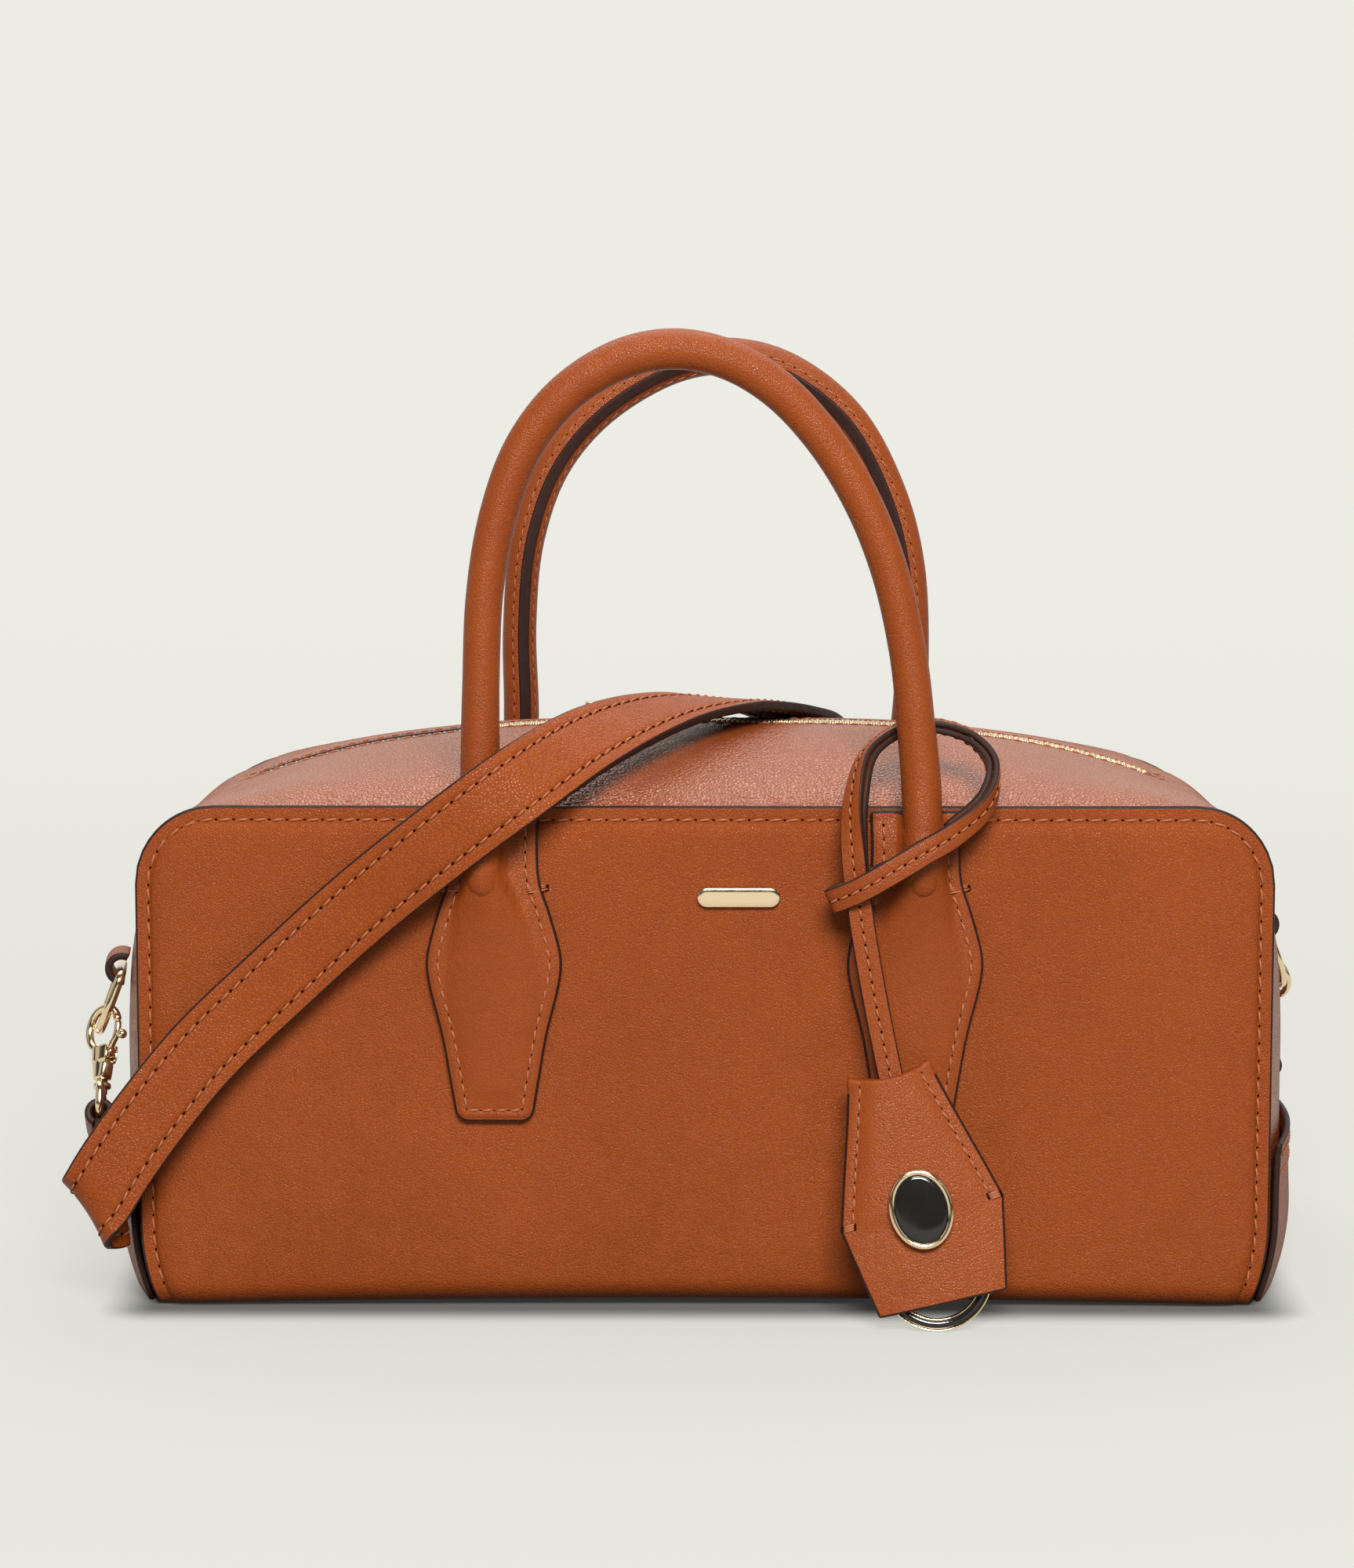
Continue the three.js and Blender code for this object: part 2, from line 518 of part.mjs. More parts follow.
function gusset() {
  const rows = gussetRows();
  const firstOpen = rows.findIndex((along) => along >= ZIP_START);
  const lastOpen = 2 * (rows.length - 1) - firstOpen;
  const slitColumn = (GUSSET_COLUMNS.length - 2) / 2;
  const open = (i, j) => j === slitColumn && i >= firstOpen && i < lastOpen;
  return wall(overTop(rows, GUSSET_COLUMNS, 0), overTop(rows, GUSSET_COLUMNS, -LEATHER), open);
}

const TAPE_DROP = LEATHER + GAP;
const TAPE_OVERLAP = 2.5;

function zipStrip(start, fromY, toY, drop, thick) {
  const steps = 10;
  const rows = Array.from({ length: steps + 1 }, (_, i) => (
    THREE.MathUtils.lerp(start, OUTLINE_LENGTH, i / steps)));
  const shares = [fromY / INNER_DEPTH, toY / INNER_DEPTH];
  return wall(overTop(rows, shares, -drop), overTop(rows, shares, -drop - thick));
}

const zipTape = (side) => zipStrip(
  ZIP_START - TAPE_OVERLAP, side * (TEETH_HALF_WIDTH + GAP), side * TAPE_REACH, TAPE_DROP, TAPE_THICK);
const zipTeeth = () => zipStrip(
  ZIP_START + GAP, -TEETH_HALF_WIDTH, TEETH_HALF_WIDTH, TEETH_DROP, TEETH_THICK);

function zipSlider() {
  const bottom = gussetPoint(-1, alongAt(SLIDER.x), 0, GAP - TEETH_DROP).z;
  const block = new THREE.BoxGeometry(SLIDER.length, SLIDER.width, SLIDER.height);
  block.translate(SLIDER.x, 0, bottom + SLIDER.height / 2);
  const pull = new THREE.BoxGeometry(SLIDER.pull, SLIDER.pullWidth, SLIDER.pullThick);
  const pullX = SLIDER.x - SLIDER.pull / 2;
  pull.translate(pullX, 0, bottom + SLIDER.height - SLIDER.pullThick);
  return join(block, pull);
}

// Leather overlay with a lip along its top, on the lower part of one side
function endPanel(side) {
  const { top, bottom, reach, thick, lip, clear, steps } = END_PANEL;
  const shares = GUSSET_COLUMNS.filter((share) => Math.abs(share) <= reach);
  const face = (lift) => Array.from({ length: steps + 1 }, (_, i) => {
    const z = THREE.MathUtils.lerp(bottom, top, i / steps);
    const flare = lip * (z / top) ** 6;
    return shares.map((share) => {
      const out = crown(z) * acrossBulge(share) + clear + lift + flare;
      return vector(side * (panelHalfWidth(z) + out), share * INNER_DEPTH, z);
    });
  });
  return wall(face(thick), face(0));
}

// Handles
const TAB_COLUMNS = [-1, -0.5, 0, 0.5, 1];
const HANDLE_SEAT = 0.15;

function handleTab(side, centre) {
  const face = (lift) => TAB_OUTLINE.map((row) => TAB_COLUMNS.map((share) => {
    const x = centre + share * row.half;
    return vector(x, side * (faceDepth(x, row.z) + GAP + lift), row.z);
  }));
  return wall(face(TAB_THICK), face(0));
}

function handle(route, side) {
  const stepsPerRow = 2;
  const rows = route.map((row) => {
    const onPanel = row.z < PANEL_HEIGHT ? faceDepth(row.x, row.z) + GAP + HANDLE_SEAT + row.radius : 0;
    return vector(row.x, side * Math.max(HANDLE_PLANE, onPanel), row.z);
  });
  const curve = new THREE.CatmullRomCurve3(rows, false, 'centripetal');
  const steps = (rows.length - 1) * stepsPerRow;
  const points = Array.from({ length: steps + 1 }, (_, i) => curve.getPoint(i / steps));
  const radii = points.map((_, i) => {
    const row = Math.min(Math.floor(i / stepsPerRow), rows.length - 2);
    return THREE.MathUtils.lerp(route[row].radius, route[row + 1].radius, i / stepsPerRow - row);
  });
  const rolled = tube(points, radii, vector(0, 1, 0), TUBE_SIDES);
  return join(rolled, handleTab(side, -TAB_CENTRE), handleTab(side, TAB_CENTRE));
}

// Side hardware. In a side group X points away from the bag, and its origin is the middle of the loop.
function sideLoop() {
  const rings = Array.from({ length: LOOP.steps + 1 }, (_, i) => {
    const angle = THREE.MathUtils.lerp(LOOP.from, LOOP.to, i / LOOP.steps);
    return [[1, 1], [1, -1], [-1, -1], [-1, 1]].map(([r, w]) => {
      const radius = LOOP.radius + (r * LOOP.thick) / 2;
      return vector(radius * Math.cos(angle), (w * LOOP.width) / 2, radius * Math.sin(angle));
    });
  });
  return sweep(rings);
}

// D-ring in the YZ plane with its straight bar through the origin
function dRing() {
  const { halfWidth, height, corner } = RING;
  const outline = new THREE.Path();
  outline.moveTo(-halfWidth + corner, 0);
  outline.lineTo(halfWidth - corner, 0);
  outline.absarc(halfWidth - corner, -corner, corner, Math.PI / 2, 0, true);
  outline.absarc(0, halfWidth - height, halfWidth, 0, -Math.PI, true);
  outline.absarc(-halfWidth + corner, -corner, corner, Math.PI, Math.PI / 2, true);
  const points = outline.getSpacedPoints(RING.steps).slice(0, -1).map((p) => vector(0, p.x, p.y));
  return tube(points, points.map(() => RING.wire), vector(1, 0, 0), RING.sides, true);
}

// Where the hook's claw sits on the ring, and its own axes: p across, q along its length, n through it
function hookFrame() {
  const { halfWidth, height } = RING;
  const turn = HOOK.onRing;
  const lean = new THREE.Matrix4().makeRotationY(-RING.lean);
  const bar = vector(0, halfWidth * Math.sin(turn), halfWidth - height - halfWidth * Math.cos(turn));
  bar.applyMatrix4(lean).add(vector(0, 0, -RING.drop));
  const along = vector(0, Math.cos(turn), Math.sin(turn));
  const down = vector(...HOOK.lean);
  down.addScaledVector(along, -down.dot(along)).normalize();
  const outward = down.clone().cross(along);
  const p = outward.multiplyScalar(Math.cos(HOOK.twist)).addScaledVector(along, -Math.sin(HOOK.twist));
  const q = down.clone().negate();
  const n = p.clone().cross(q);
  const centre = bar.addScaledVector(p, -HOOK_SEAT.across).addScaledVector(q, -HOOK_SEAT.along);
  return new THREE.Matrix4().makeBasis(p, q, n).setPosition(centre);
}

const circle = (angle, radius = HOOK.claw) => vector(radius * Math.cos(angle), radius * Math.sin(angle), 0);
const throughHook = vector(0, 0, 1);

// The claw's wire between two angles of its circle
function clawArc(from, to, wire, steps) {
  const points = Array.from({ length: steps + 1 }, (_, i) => (
    circle(THREE.MathUtils.lerp(from, to, i / steps))));
  return tube(points, points.map(() => wire), throughHook, HOOK.sides);
}

function hookTail() {
  const outline = new THREE.Shape();
  outline.moveTo(-TAIL.halfTop, TAIL.top - TAIL.slope);
  outline.lineTo(-TAIL.halfBottom, TAIL.bottom);
  outline.lineTo(TAIL.halfBottom, TAIL.bottom);
  outline.lineTo(TAIL.shoulder, TAIL.top);
  outline.lineTo(0, TAIL.top);
  const body = new THREE.ExtrudeGeometry(outline, { depth: TAIL.thick, bevelEnabled: false });
  return body.translate(0, 0, -TAIL.thick / 2);
}

function hookNeck() {
  const { radius, flange, flangeTop, flangeBottom, bottom, sides } = NECK;
  const top = TAIL.bottom + NECK.root;
  const profile = [[0, bottom], [radius, bottom], [radius, flangeBottom], [flange, flangeBottom],
    [flange, flangeTop], [radius, flangeTop], [radius, top], [0, top]];
  return new THREE.LatheGeometry(profile.map(([r, y]) => new THREE.Vector2(r, y)), sides);
}

// Flat loop that the strap's end is folded round, turned about the hook's length to face the strap
function hookBail() {
  const half = BAIL.innerHalf + BAIL.wire;
  const corners = [[-half, BAIL.bar], [half, BAIL.bar], [half, BAIL.top], [-half, BAIL.top]];
  const points = corners.map(([x, y]) => vector(x, y, 0));
  const bail = tube(points, points.map(() => BAIL.wire * Math.SQRT2), throughHook, 4, true);
  return bail.rotateY(HOOK.twist - Math.PI / 2);
}

// A short cylinder about the gate's pivot
function aroundPivot(radius, depth) {
  const cylinder = new THREE.CylinderGeometry(radius, radius, depth, GATE.sides);
  return cylinder.rotateX(Math.PI / 2).translate(GATE.p, GATE.q, 0);
}

function hook(hasGate) {
  const clawTop = hasGate ? GATE.to - GATE.clear : GATE.from;
  const claw = clawArc(clawTop, -Math.PI / 2, HOOK.wire, HOOK.steps);
  const whole = [claw, hookTail(), hookNeck(), hookBail()].map(solid).reduce((all, next) => all.add(next));
  if (!hasGate) return geometryOf(whole);
  return geometryOf(whole.subtract(solid(aroundPivot(GATE.notch, GATE.slot))));
}

// Spring gate about its own pivot, with the thumb knob on its outer side
function hookGate() {
  const pivot = vector(GATE.p, GATE.q, 0);
  const arm = Array.from({ length: GATE.steps + 1 }, (_, i) => (
    circle(THREE.MathUtils.lerp(GATE.from, GATE.to, i / GATE.steps))));
  const points = [pivot.clone(), ...arm];
  const lever = tube(points, points.map(() => GATE.wire), throughHook, HOOK.sides);
  const boss = aroundPivot(GATE.boss, GATE.thick);
  const stemEnds = [circle(GATE_KNOB.angle), circle(GATE_KNOB.angle, GATE_KNOB.out)];
  const stem = tube(stemEnds, [GATE_KNOB.stem, GATE_KNOB.stem], throughHook, HOOK.sides);
  const ball = new THREE.SphereGeometry(GATE_KNOB.ball, 8, 6).translate(...stemEnds[1].toArray());
  return join(lever, boss, stem, ball).translate(-pivot.x, -pivot.y, 0);
}

// Loop, ring and hook of one side, in a group that stands at the side's anchor
function sideHardware(side, name) {
  const group = new THREE.Group();
  group.rotation.z = side > 0 ? 0 : Math.PI;
  const anchor = new THREE.Group();
  anchor.position.set(...ANCHOR[name]);
  anchor.rotation.z = ANCHOR.turn;
  group.add(anchor);
  const ring = named(`ring_${name}`, dRing(), goldMetal);
  ring.position.z = -RING.drop;
  ring.rotation.y = -RING.lean;
  const claw = new THREE.Group();
  hookFrame().decompose(claw.position, claw.quaternion, claw.scale);
  const hasGate = side < 0;
  claw.add(named(`hook_${name}`, hook(hasGate), goldMetal));
  if (hasGate) {
    const gate = named('hook_gate', hookGate(), goldMetal);
    gate.position.set(GATE.p, GATE.q, 0);
    claw.add(gate);
  }
  anchor.add(named(`side_loop_${name}`, sideLoop(), tanLeather), ring, claw);
  group.updateMatrixWorld(true);
  return { group, claw };
}

// The middle of a bail's bar, the bar's direction and the way the hook points, in the bag's frame
function strapEnd({ claw }) {
  const turn = HOOK.twist - Math.PI / 2;
  const bar = claw.localToWorld(vector(0, BAIL.bar, 0));
  const along = vector(Math.cos(turn), 0, -Math.sin(turn)).transformDirection(claw.matrixWorld);
  const down = vector(0, -1, 0).transformDirection(claw.matrixWorld);
  return { bar, along, down };
}

function strapEye({ bar, along }, radius, width) {
  const ends = [-width / 2, width / 2].map((step) => bar.clone().addScaledVector(along, step));
  const across = vector(1, 0, 0).cross(along).normalize();
  return tube(ends, [radius, radius], across, STRAP.eyeSides);
}

function strap(ends) {
  const row = ({ bar, along, down }, flip) => {
    const start = bar.clone().addScaledVector(down, STRAP.start);
    const a = along.clone().multiplyScalar(flip);
    return { x: start.x, y: start.y, z: start.z, ax: a.x, ay: a.y, az: a.z };
  };
  const facing = ({ along }, { ax, ay, az }) => Math.sign(along.dot(vector(ax, ay, az)));
  const [left, right] = ends;
  const first = row(left, facing(left, STRAP_ROUTE[0]));
  const last = row(right, facing(right, STRAP_ROUTE[STRAP_ROUTE.length - 1]));
  const route = [first, ...STRAP_ROUTE, last];
  const hole = BAIL.wire * Math.SQRT2 + GAP;
  const cutWidth = STRAP.width + 2;
  let whole = solid(ribbon(route, STRAP.width, () => STRAP.thick, STRAP.stepsPerRow));
  ends.forEach((end) => {
    whole = whole.add(solid(strapEye(end, STRAP.eye, STRAP.width)));
    whole = whole.subtract(solid(strapEye(end, hole, cutWidth)));
  });
  return geometryOf(whole);
}

// Charm
const charmTop = vector(...BELL_TOP);
const charmDown = vector(...BELL_BOTTOM).sub(charmTop).normalize();
const charmAcross = vector(-charmDown.z, 0, charmDown.x).normalize();
const charmFront = charmDown.clone().cross(charmAcross).normalize();
if (charmFront.y > 0) charmFront.negate();
const charmPoint = (across, down, front) => charmTop.clone()
  .addScaledVector(charmAcross, across)
  .addScaledVector(charmDown, down)
  .addScaledVector(charmFront, front);

function bellLeaf(side) {
  const shares = [-1, -0.6, -0.2, 0.2, 0.6, 1];
  const face = (lift) => BELL_OUTLINE.map((row) => shares.map((share) => (
    charmPoint(share * row.half, row.down, side * (row.edge + row.spread * (1 - share ** 2) + lift)))));
  return wall(face(BELL_LEATHER), face(0));
}

// Charm pieces that are drawn flat stand in a group with X across, Y up the charm and Z to its front
function charmGroup() {
  const group = new THREE.Group();
  const basis = new THREE.Matrix4().makeBasis(charmAcross, charmDown.clone().negate(),
    charmAcross.clone().cross(charmDown.clone().negate()));
  basis.setPosition(charmTop).decompose(group.position, group.quaternion, group.scale);
  return group;
}

function flatPlate(outline, thick, curveSegments) {
  return new THREE.ExtrudeGeometry(outline, { depth: thick, bevelEnabled: false, curveSegments });
}

function ringDisc() {
  const outline = new THREE.Shape();
  outline.absarc(0, 0, CHARM_RING.outer, 0, 2 * Math.PI);
  const hole = new THREE.Path();
  hole.absarc(0, 0, CHARM_RING.outer - CHARM_RING.band, 0, 2 * Math.PI, true);
  outline.holes.push(hole);
  return flatPlate(outline, CHARM_RING.thick, CHARM_RING.sides).translate(0, 0, -CHARM_RING.thick / 2);
}

function emblem() {
  const oval = (inset) => new THREE.Shape().absellipse(
    0, 0, EMBLEM.halfWidth - inset, EMBLEM.halfHeight - inset, 0, 2 * Math.PI);
  const { thick, rim, recess, segments } = EMBLEM;
  const whole = solid(flatPlate(oval(0), thick, segments));
  const cut = flatPlate(oval(rim), thick, segments).translate(0, 0, thick - recess);
  return geometryOf(whole.subtract(solid(cut)));
}

function frontBar() {
  const { length, height, thick, segments } = FRONT_BAR;
  const run = (length - height) / 2;
  const outline = new THREE.Shape();
  outline.absarc(run, 0, height / 2, -Math.PI / 2, Math.PI / 2);
  outline.absarc(-run, 0, height / 2, Math.PI / 2, 1.5 * Math.PI);
  return flatPlate(outline, thick, segments).rotateX(Math.PI / 2);
}

// The whole bag
const bag = new THREE.Group();
bag.add(
  named('body_wrap', bodyWrap(), tanLeather),
  named('gusset', gusset(), tanLeather),
  named('zip_tape_front', zipTape(-1), tapeCloth),
  named('zip_tape_back', zipTape(1), tapeCloth),
  named('zip_teeth', zipTeeth(), goldMetal),
  named('zip_slider', zipSlider(), goldMetal),
  named('end_panel_left', endPanel(-1), tanLeather),
  named('end_panel_right', endPanel(1), tanLeather),
  named('handle_front', handle(FRONT_HANDLE, -1), tanLeather),
  named('handle_back', handle(BACK_HANDLE, 1), tanLeather),
);

const left = sideHardware(-1, 'left');
const right = sideHardware(1, 'right');
bag.add(left.group, right.group);
bag.add(named('strap', strap([strapEnd(left), strapEnd(right)]), tanLeather));

bag.add(
  named('charm_thong', ribbon(THONG_ROUTE, THONG_WIDTH, (row) => row.thick, THONG_STEPS), tanLeather),
  named('charm_front', bellLeaf(1), tanLeather),
  named('charm_back', bellLeaf(-1), tanLeather),
);
const charm = charmGroup();
const disc = named('charm_ring', ringDisc(), blackEnamel);
disc.position.y = -CHARM_RING.down;
const plaque = named('charm_emblem', emblem(), goldMetal);
const bellMiddle = BELL_OUTLINE.find((row) => row.down > EMBLEM.down);
plaque.position.set(0, -EMBLEM.down, bellMiddle.edge + bellMiddle.spread + BELL_LEATHER + GAP);
charm.add(disc, plaque);
bag.add(charm);

const bar = named('front_bar', frontBar(), goldMetal);
bar.position.set(FRONT_BAR.x, -faceDepth(FRONT_BAR.x, FRONT_BAR.z) - GAP, FRONT_BAR.z);
bag.add(bar);

export default bag;
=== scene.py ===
"""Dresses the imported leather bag: leather, edge paint, thread, zip, metal and stage.

Every size here is in millimetres and follows the same named values as the CAD model; pieces are put
into their meshes in metres.
"""

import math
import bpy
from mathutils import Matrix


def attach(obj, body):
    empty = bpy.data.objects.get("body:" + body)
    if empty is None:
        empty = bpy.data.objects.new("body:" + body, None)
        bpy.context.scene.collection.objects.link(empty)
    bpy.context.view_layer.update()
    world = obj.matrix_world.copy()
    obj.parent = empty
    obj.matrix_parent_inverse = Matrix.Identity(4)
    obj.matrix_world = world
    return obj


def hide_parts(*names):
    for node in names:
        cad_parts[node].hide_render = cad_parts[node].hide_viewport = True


bl_info = {
    "name": "Structured leather bag",
    "version": (1, 0, 0),
    "blender": (4, 5, 0),
    "location": "View3D > Sidebar > Bag",
    "description": "Builds the leather, stitching and metal of a small structured bag over its CAD frame",
    "category": "Object",
}

import bmesh
import bpy
import mathutils
import numpy as np

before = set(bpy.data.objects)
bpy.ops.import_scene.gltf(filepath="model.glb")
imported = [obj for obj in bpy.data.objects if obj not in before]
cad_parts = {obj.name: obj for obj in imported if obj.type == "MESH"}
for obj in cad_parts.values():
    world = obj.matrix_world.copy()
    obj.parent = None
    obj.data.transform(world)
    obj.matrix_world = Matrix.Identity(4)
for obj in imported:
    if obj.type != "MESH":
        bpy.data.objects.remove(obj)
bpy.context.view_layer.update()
MM = 0.001

# Bag body
PANEL_WIDTH = 307.0
PANEL_HEIGHT = 138.0
HALF_DEPTH = 62.0
LEATHER = 2.2
GAP = 0.3
TOP_CORNER = 21.0
BACK_CORNER = 35.0
SLUMP_START = 14.0
BASE_CORNER = 7.0
TUCK = 5.0
TUCK_HEIGHT = 24.0
BILLOW = 1.4
ROLL_STEP = 1.6
ROLL_RUN = 5.5
EDGE_LIFT = 2.4
EDGE_PROUD = 1.2
BULGE_POWER = 1.9
FLAT_BASE = 44.0
LIFT_SPAN = 0.92
LIFT_FADE = 40.0
INNER_DEPTH = HALF_DEPTH - LEATHER - GAP
SHOULDER = PANEL_HEIGHT - TOP_CORNER
TOP_HALF = PANEL_WIDTH / 2 - TOP_CORNER
CORNER_LENGTH = TOP_CORNER * math.pi / 2
OUTLINE_LENGTH = SHOULDER + CORNER_LENGTH + TOP_HALF

# Length along the panel's outline from the floor, then how far the gusset stands out there
GUSSET_CROWN = (
    (0, 12), (24, 10.8), (46, 9.6), (75, 9.2), (97, 7), (116, 1), (133, -3.5), (149, 0),
    (165, 5.6), (183, 10.4), (201, 13.5), (232, 16.8), (283, 17.6),
)

# Zip
ZIP_HALF_LENGTH = 127.0
ZIP_START = OUTLINE_LENGTH - ZIP_HALF_LENGTH
SLIT_HALF = 3.9
SLIT_INSET = 2.2
SKIVE_RUN = 7.0
SKIVE_LEAD = 14.0
SKIVE_DROP = 0.45
SKIVE_INSIDE = 0.5
TAPE_DROP = 2.5
TAPE_THICK = 1.0
TAPE_REACH = 9.6
TOOTH_PITCH = 1.45
SLIDER_PLACE = -13.0

# Overlay on the lower part of each side
END_PANEL_TOP = 44.0
END_PANEL_BOTTOM = 0.6
END_PANEL_REACH = 0.9
END_PANEL_THICK = 1.8
END_PANEL_CLEAR = 0.45
END_PANEL_ROWS = (3.2, 8.4)
END_PANEL_SINK = 0.15

# Handles: x and z of the rolled tube's middle line, then its radius
HANDLE_PLANE = 67.6
HANDLE_SEAT = 0.45
FRONT_HANDLE = (
    (-57.5, 84, 2), (-58.5, 104, 3.4), (-59.6, 124, 5.1), (-60.1, 145, 5.4), (-59.8, 172, 5),
    (-58.6, 197, 5), (-54.9, 217.5, 5.1), (-48.1, 235.4, 5.2), (-37.3, 249.2, 5.3), (-22.7, 258.4, 5.5),
    (-8.8, 261.3, 5.5), (5.4, 258.8, 5.4), (18.9, 251, 5.3), (31.4, 237.8, 5.2), (41.9, 220.8, 5.1),
    (49.3, 202.1, 5), (54.3, 180, 5), (56.6, 160, 5.2), (58, 145, 5.4), (58.5, 124, 5.1),
    (57.8, 104, 3.4), (57, 84, 2),
)
BACK_HANDLE = (
    (-57, 84, 2), (-56.6, 104, 3.4), (-56, 124, 5.1), (-55, 150, 5.3), (-55.4, 176, 5), (-52.9, 202, 5),
    (-45.1, 224, 5.1), (-31, 241, 5.3), (-9.1, 254, 5.5), (8, 256.5, 5.5), (24, 252.5, 5.4),
    (42, 239, 5.2), (54, 218.3, 5.1), (60.6, 195, 5), (62, 162, 5.1), (60.8, 142, 5.4),
    (59.4, 124, 5.1), (58, 104, 3.4), (57, 84, 2),
)
TAB_CENTRE = 56.8
TAB_THICK = 2.6
TACK_HEIGHT = 116.8
TAB_OUTLINE = (
    (53.6, 9.7), (65, 11.6), (77, 13.7), (90, 16.9), (96, 17.7), (101, 17.1), (110.6, 14.4), (118, 12),
    (126, 11.3), (137, 11.5),
)
# Height, how far the padded core of a tab stands out there, half its width, then how round its section is
TAB_CORE = (
    (53.6, 0.3, 7, 1), (60, 0.8, 8.4, 1), (72, 1.3, 10.4, 0.9), (88, 1.9, 12.6, 0.85), (96, 2.4, 12.6, 0.8),
    (104, 3.2, 11, 0.75), (110, 4.2, 9.4, 0.68), (118, 6.2, 7.8, 0.58), (124, 7.8, 6.7, 0.5),
    (130, 8.2, 6.1, 0.5), (137, 8, 5.7, 0.5),
)

# Side hardware: each side's loop stands at its own place, given as on the right side; the left side is turned
# half round about Z
LEFT_ANCHOR = (163.2, 24.0, 88.6)
RIGHT_ANCHOR = (162.3, 31.0, 92.6)
ANCHOR_TURN = 0.11
LOOP_RADIUS = 3.6
LOOP_WIDTH = 14.0
LOOP_ARC = (-1.7, 2.1)
RING_WIRE = 1.3
RING_HALF = 10.5
RING_HEIGHT = 18.5
RING_CORNER = 3.0
RING_LEAN = 0.36
RING_DROP = 0.9
HOOK_ON_RING = 0.47
HOOK_CLAW = 6.2
HOOK_WIRE = 1.15
HOOK_TWIST = 0.85
HOOK_LEAN = (0.03, 0.45, -0.89)
HOOK_SEAT = (1.4, 0.4)
BAIL_HALF = 12.4
BAIL_WIRE = 1.2
BAIL_TOP = -18.8
BAIL_BAR = -26.6
GATE_PIVOT = (-2.6, -7.1)
GATE_ARC = (3.98, 3.04)
CLAW_TIP = 2.79
GATE_KNOB = (3.5, 8.6, 1.4)

# Strap: middle line, then the direction across its width
STRAP_WIDTH = 21.0
STRAP_THICK = 3.0
STRAP_START = 2.9
STRAP_ROUTE = (
    (-165.4, -51.4, 33.4, 0, 0.7, -0.71), (-161.8, -57.8, 29.4, 0.05, 0.38, -0.92),
    (-159.4, -64, 28, 0.14, 0.06, -0.98), (-163.4, -68.2, 28.6, 0.33, -0.25, -0.91),
    (-165.6, -71, 29.2, 0.51, -0.39, -0.76), (-165.5, -74.2, 31.4, 0.66, -0.25, -0.71),
    (-163.6, -75.6, 34.4, 0.8, -0.05, -0.6), (-158.7, -75.4, 42.4, 0.82, 0, -0.57),
    (-149.3, -73.8, 55.6, 0.78, 0, -0.63), (-135, -71.8, 73, 0.72, 0, -0.69),
    (-113.5, -71.4, 93.6, 0.69, 0, -0.72), (-92.1, -73.4, 113.2, 0.67, 0, -0.74),
    (-70.9, -77, 130.6, 0.66, 0, -0.75), (-49.8, -76.6, 146.1, 0.68, -0.08, -0.7),
    (-29.5, -55, 156.8, 0.72, -0.38, -0.53), (-9.6, -31, 161.8, 0.77, -0.57, -0.25),
    (7.6, -8, 160.8, 0.84, -0.54, 0), (23.6, 25, 154.6, 0.92, -0.38, 0.08),
    (32, 55.8, 146.4, 0.95, -0.2, 0.2), (38.6, 71.4, 135.4, 0.9, -0.06, 0.42),
    (47.6, 77, 122, 0.78, 0, 0.62), (61, 78, 109.6, 0.62, 0, 0.78),
    (86, 74.6, 95.4, 0.48, 0, 0.88), (114, 71.9, 83, 0.46, 0, 0.88),
    (136, 72.4, 70, 0.6, 0, 0.8), (147.3, 75.4, 59.4, 0.74, 0, 0.67),
    (155.5, 77.6, 46.4, 0.82, 0, 0.57), (161.2, 78.4, 38.4, 0.8, -0.05, 0.6),
    (163.6, 77.4, 35.4, 0.66, -0.25, 0.71), (164.4, 74.8, 33.2, 0.51, -0.39, 0.76),
    (163.2, 72.4, 32.7, 0.33, -0.25, 0.91), (161.2, 69, 32.2, 0.14, 0.06, 0.98),
    (162.2, 64, 33.4, 0.05, 0.38, 0.92), (164.6, 58.4, 37.4, 0, 0.7, 0.71),
)

# Charm: the doubled thong's middle line, the direction across its width and its thickness
THONG_WIDTH = 6.8
THONG_GROOVE = 0.25
THONG_SINGLE_FROM = 14
THONG_ROUTE = (
    (58.6, -82.4, 29.9, 0.97, 0, 0.23, 3.6), (54, -79.2, 50, 0.97, 0, 0.23, 3.6),
    (49.7, -76.4, 68.5, 0.98, 0, 0.2, 3.6), (46.5, -75.8, 84, 0.98, 0, 0.2, 3.8),
    (44, -75.8, 97.3, 0.99, 0, 0.15, 3.8), (41.6, -75.8, 112, 0.99, 0, 0.12, 3.8),
    (40, -75.6, 128, 0.94, -0.34, 0, 3.8), (40.4, -73, 142, 0.6, -0.8, 0, 3.8),
    (44.6, -65, 154, 0.1, -0.99, 0, 3.8), (56.5, -57.8, 160, 0, -1, 0, 3.8),
    (70, -59.5, 158, 0, -1, 0, 3.8), (77, -66, 150.7, 0, -0.95, 0.3, 3.8),
    (75.2, -72, 141.3, -0.3, -0.6, 0.74, 3.8), (66, -76.5, 133, -0.5, -0.2, 0.83, 3.8),
    (58, -79.2, 128.3, -0.52, 0, 0.85, 3.2), (50, -80.6, 123.6, -0.5, 0, 0.86, 2.2),
    (41, -80, 118.4, -0.45, 0, 0.89, 2), (34, -76, 115, -0.4, 0, 0.91, 2),
    (40, -72, 117.6, -0.42, 0, 0.9, 2), (49.5, -71.4, 122, -0.42, 0, 0.9, 2),
)
BELL_TOP = (49.65, -76.3, 67.9)
BELL_BOTTOM = (64.0, -86.0, 7.4)
BELL_LEATHER = 2.0
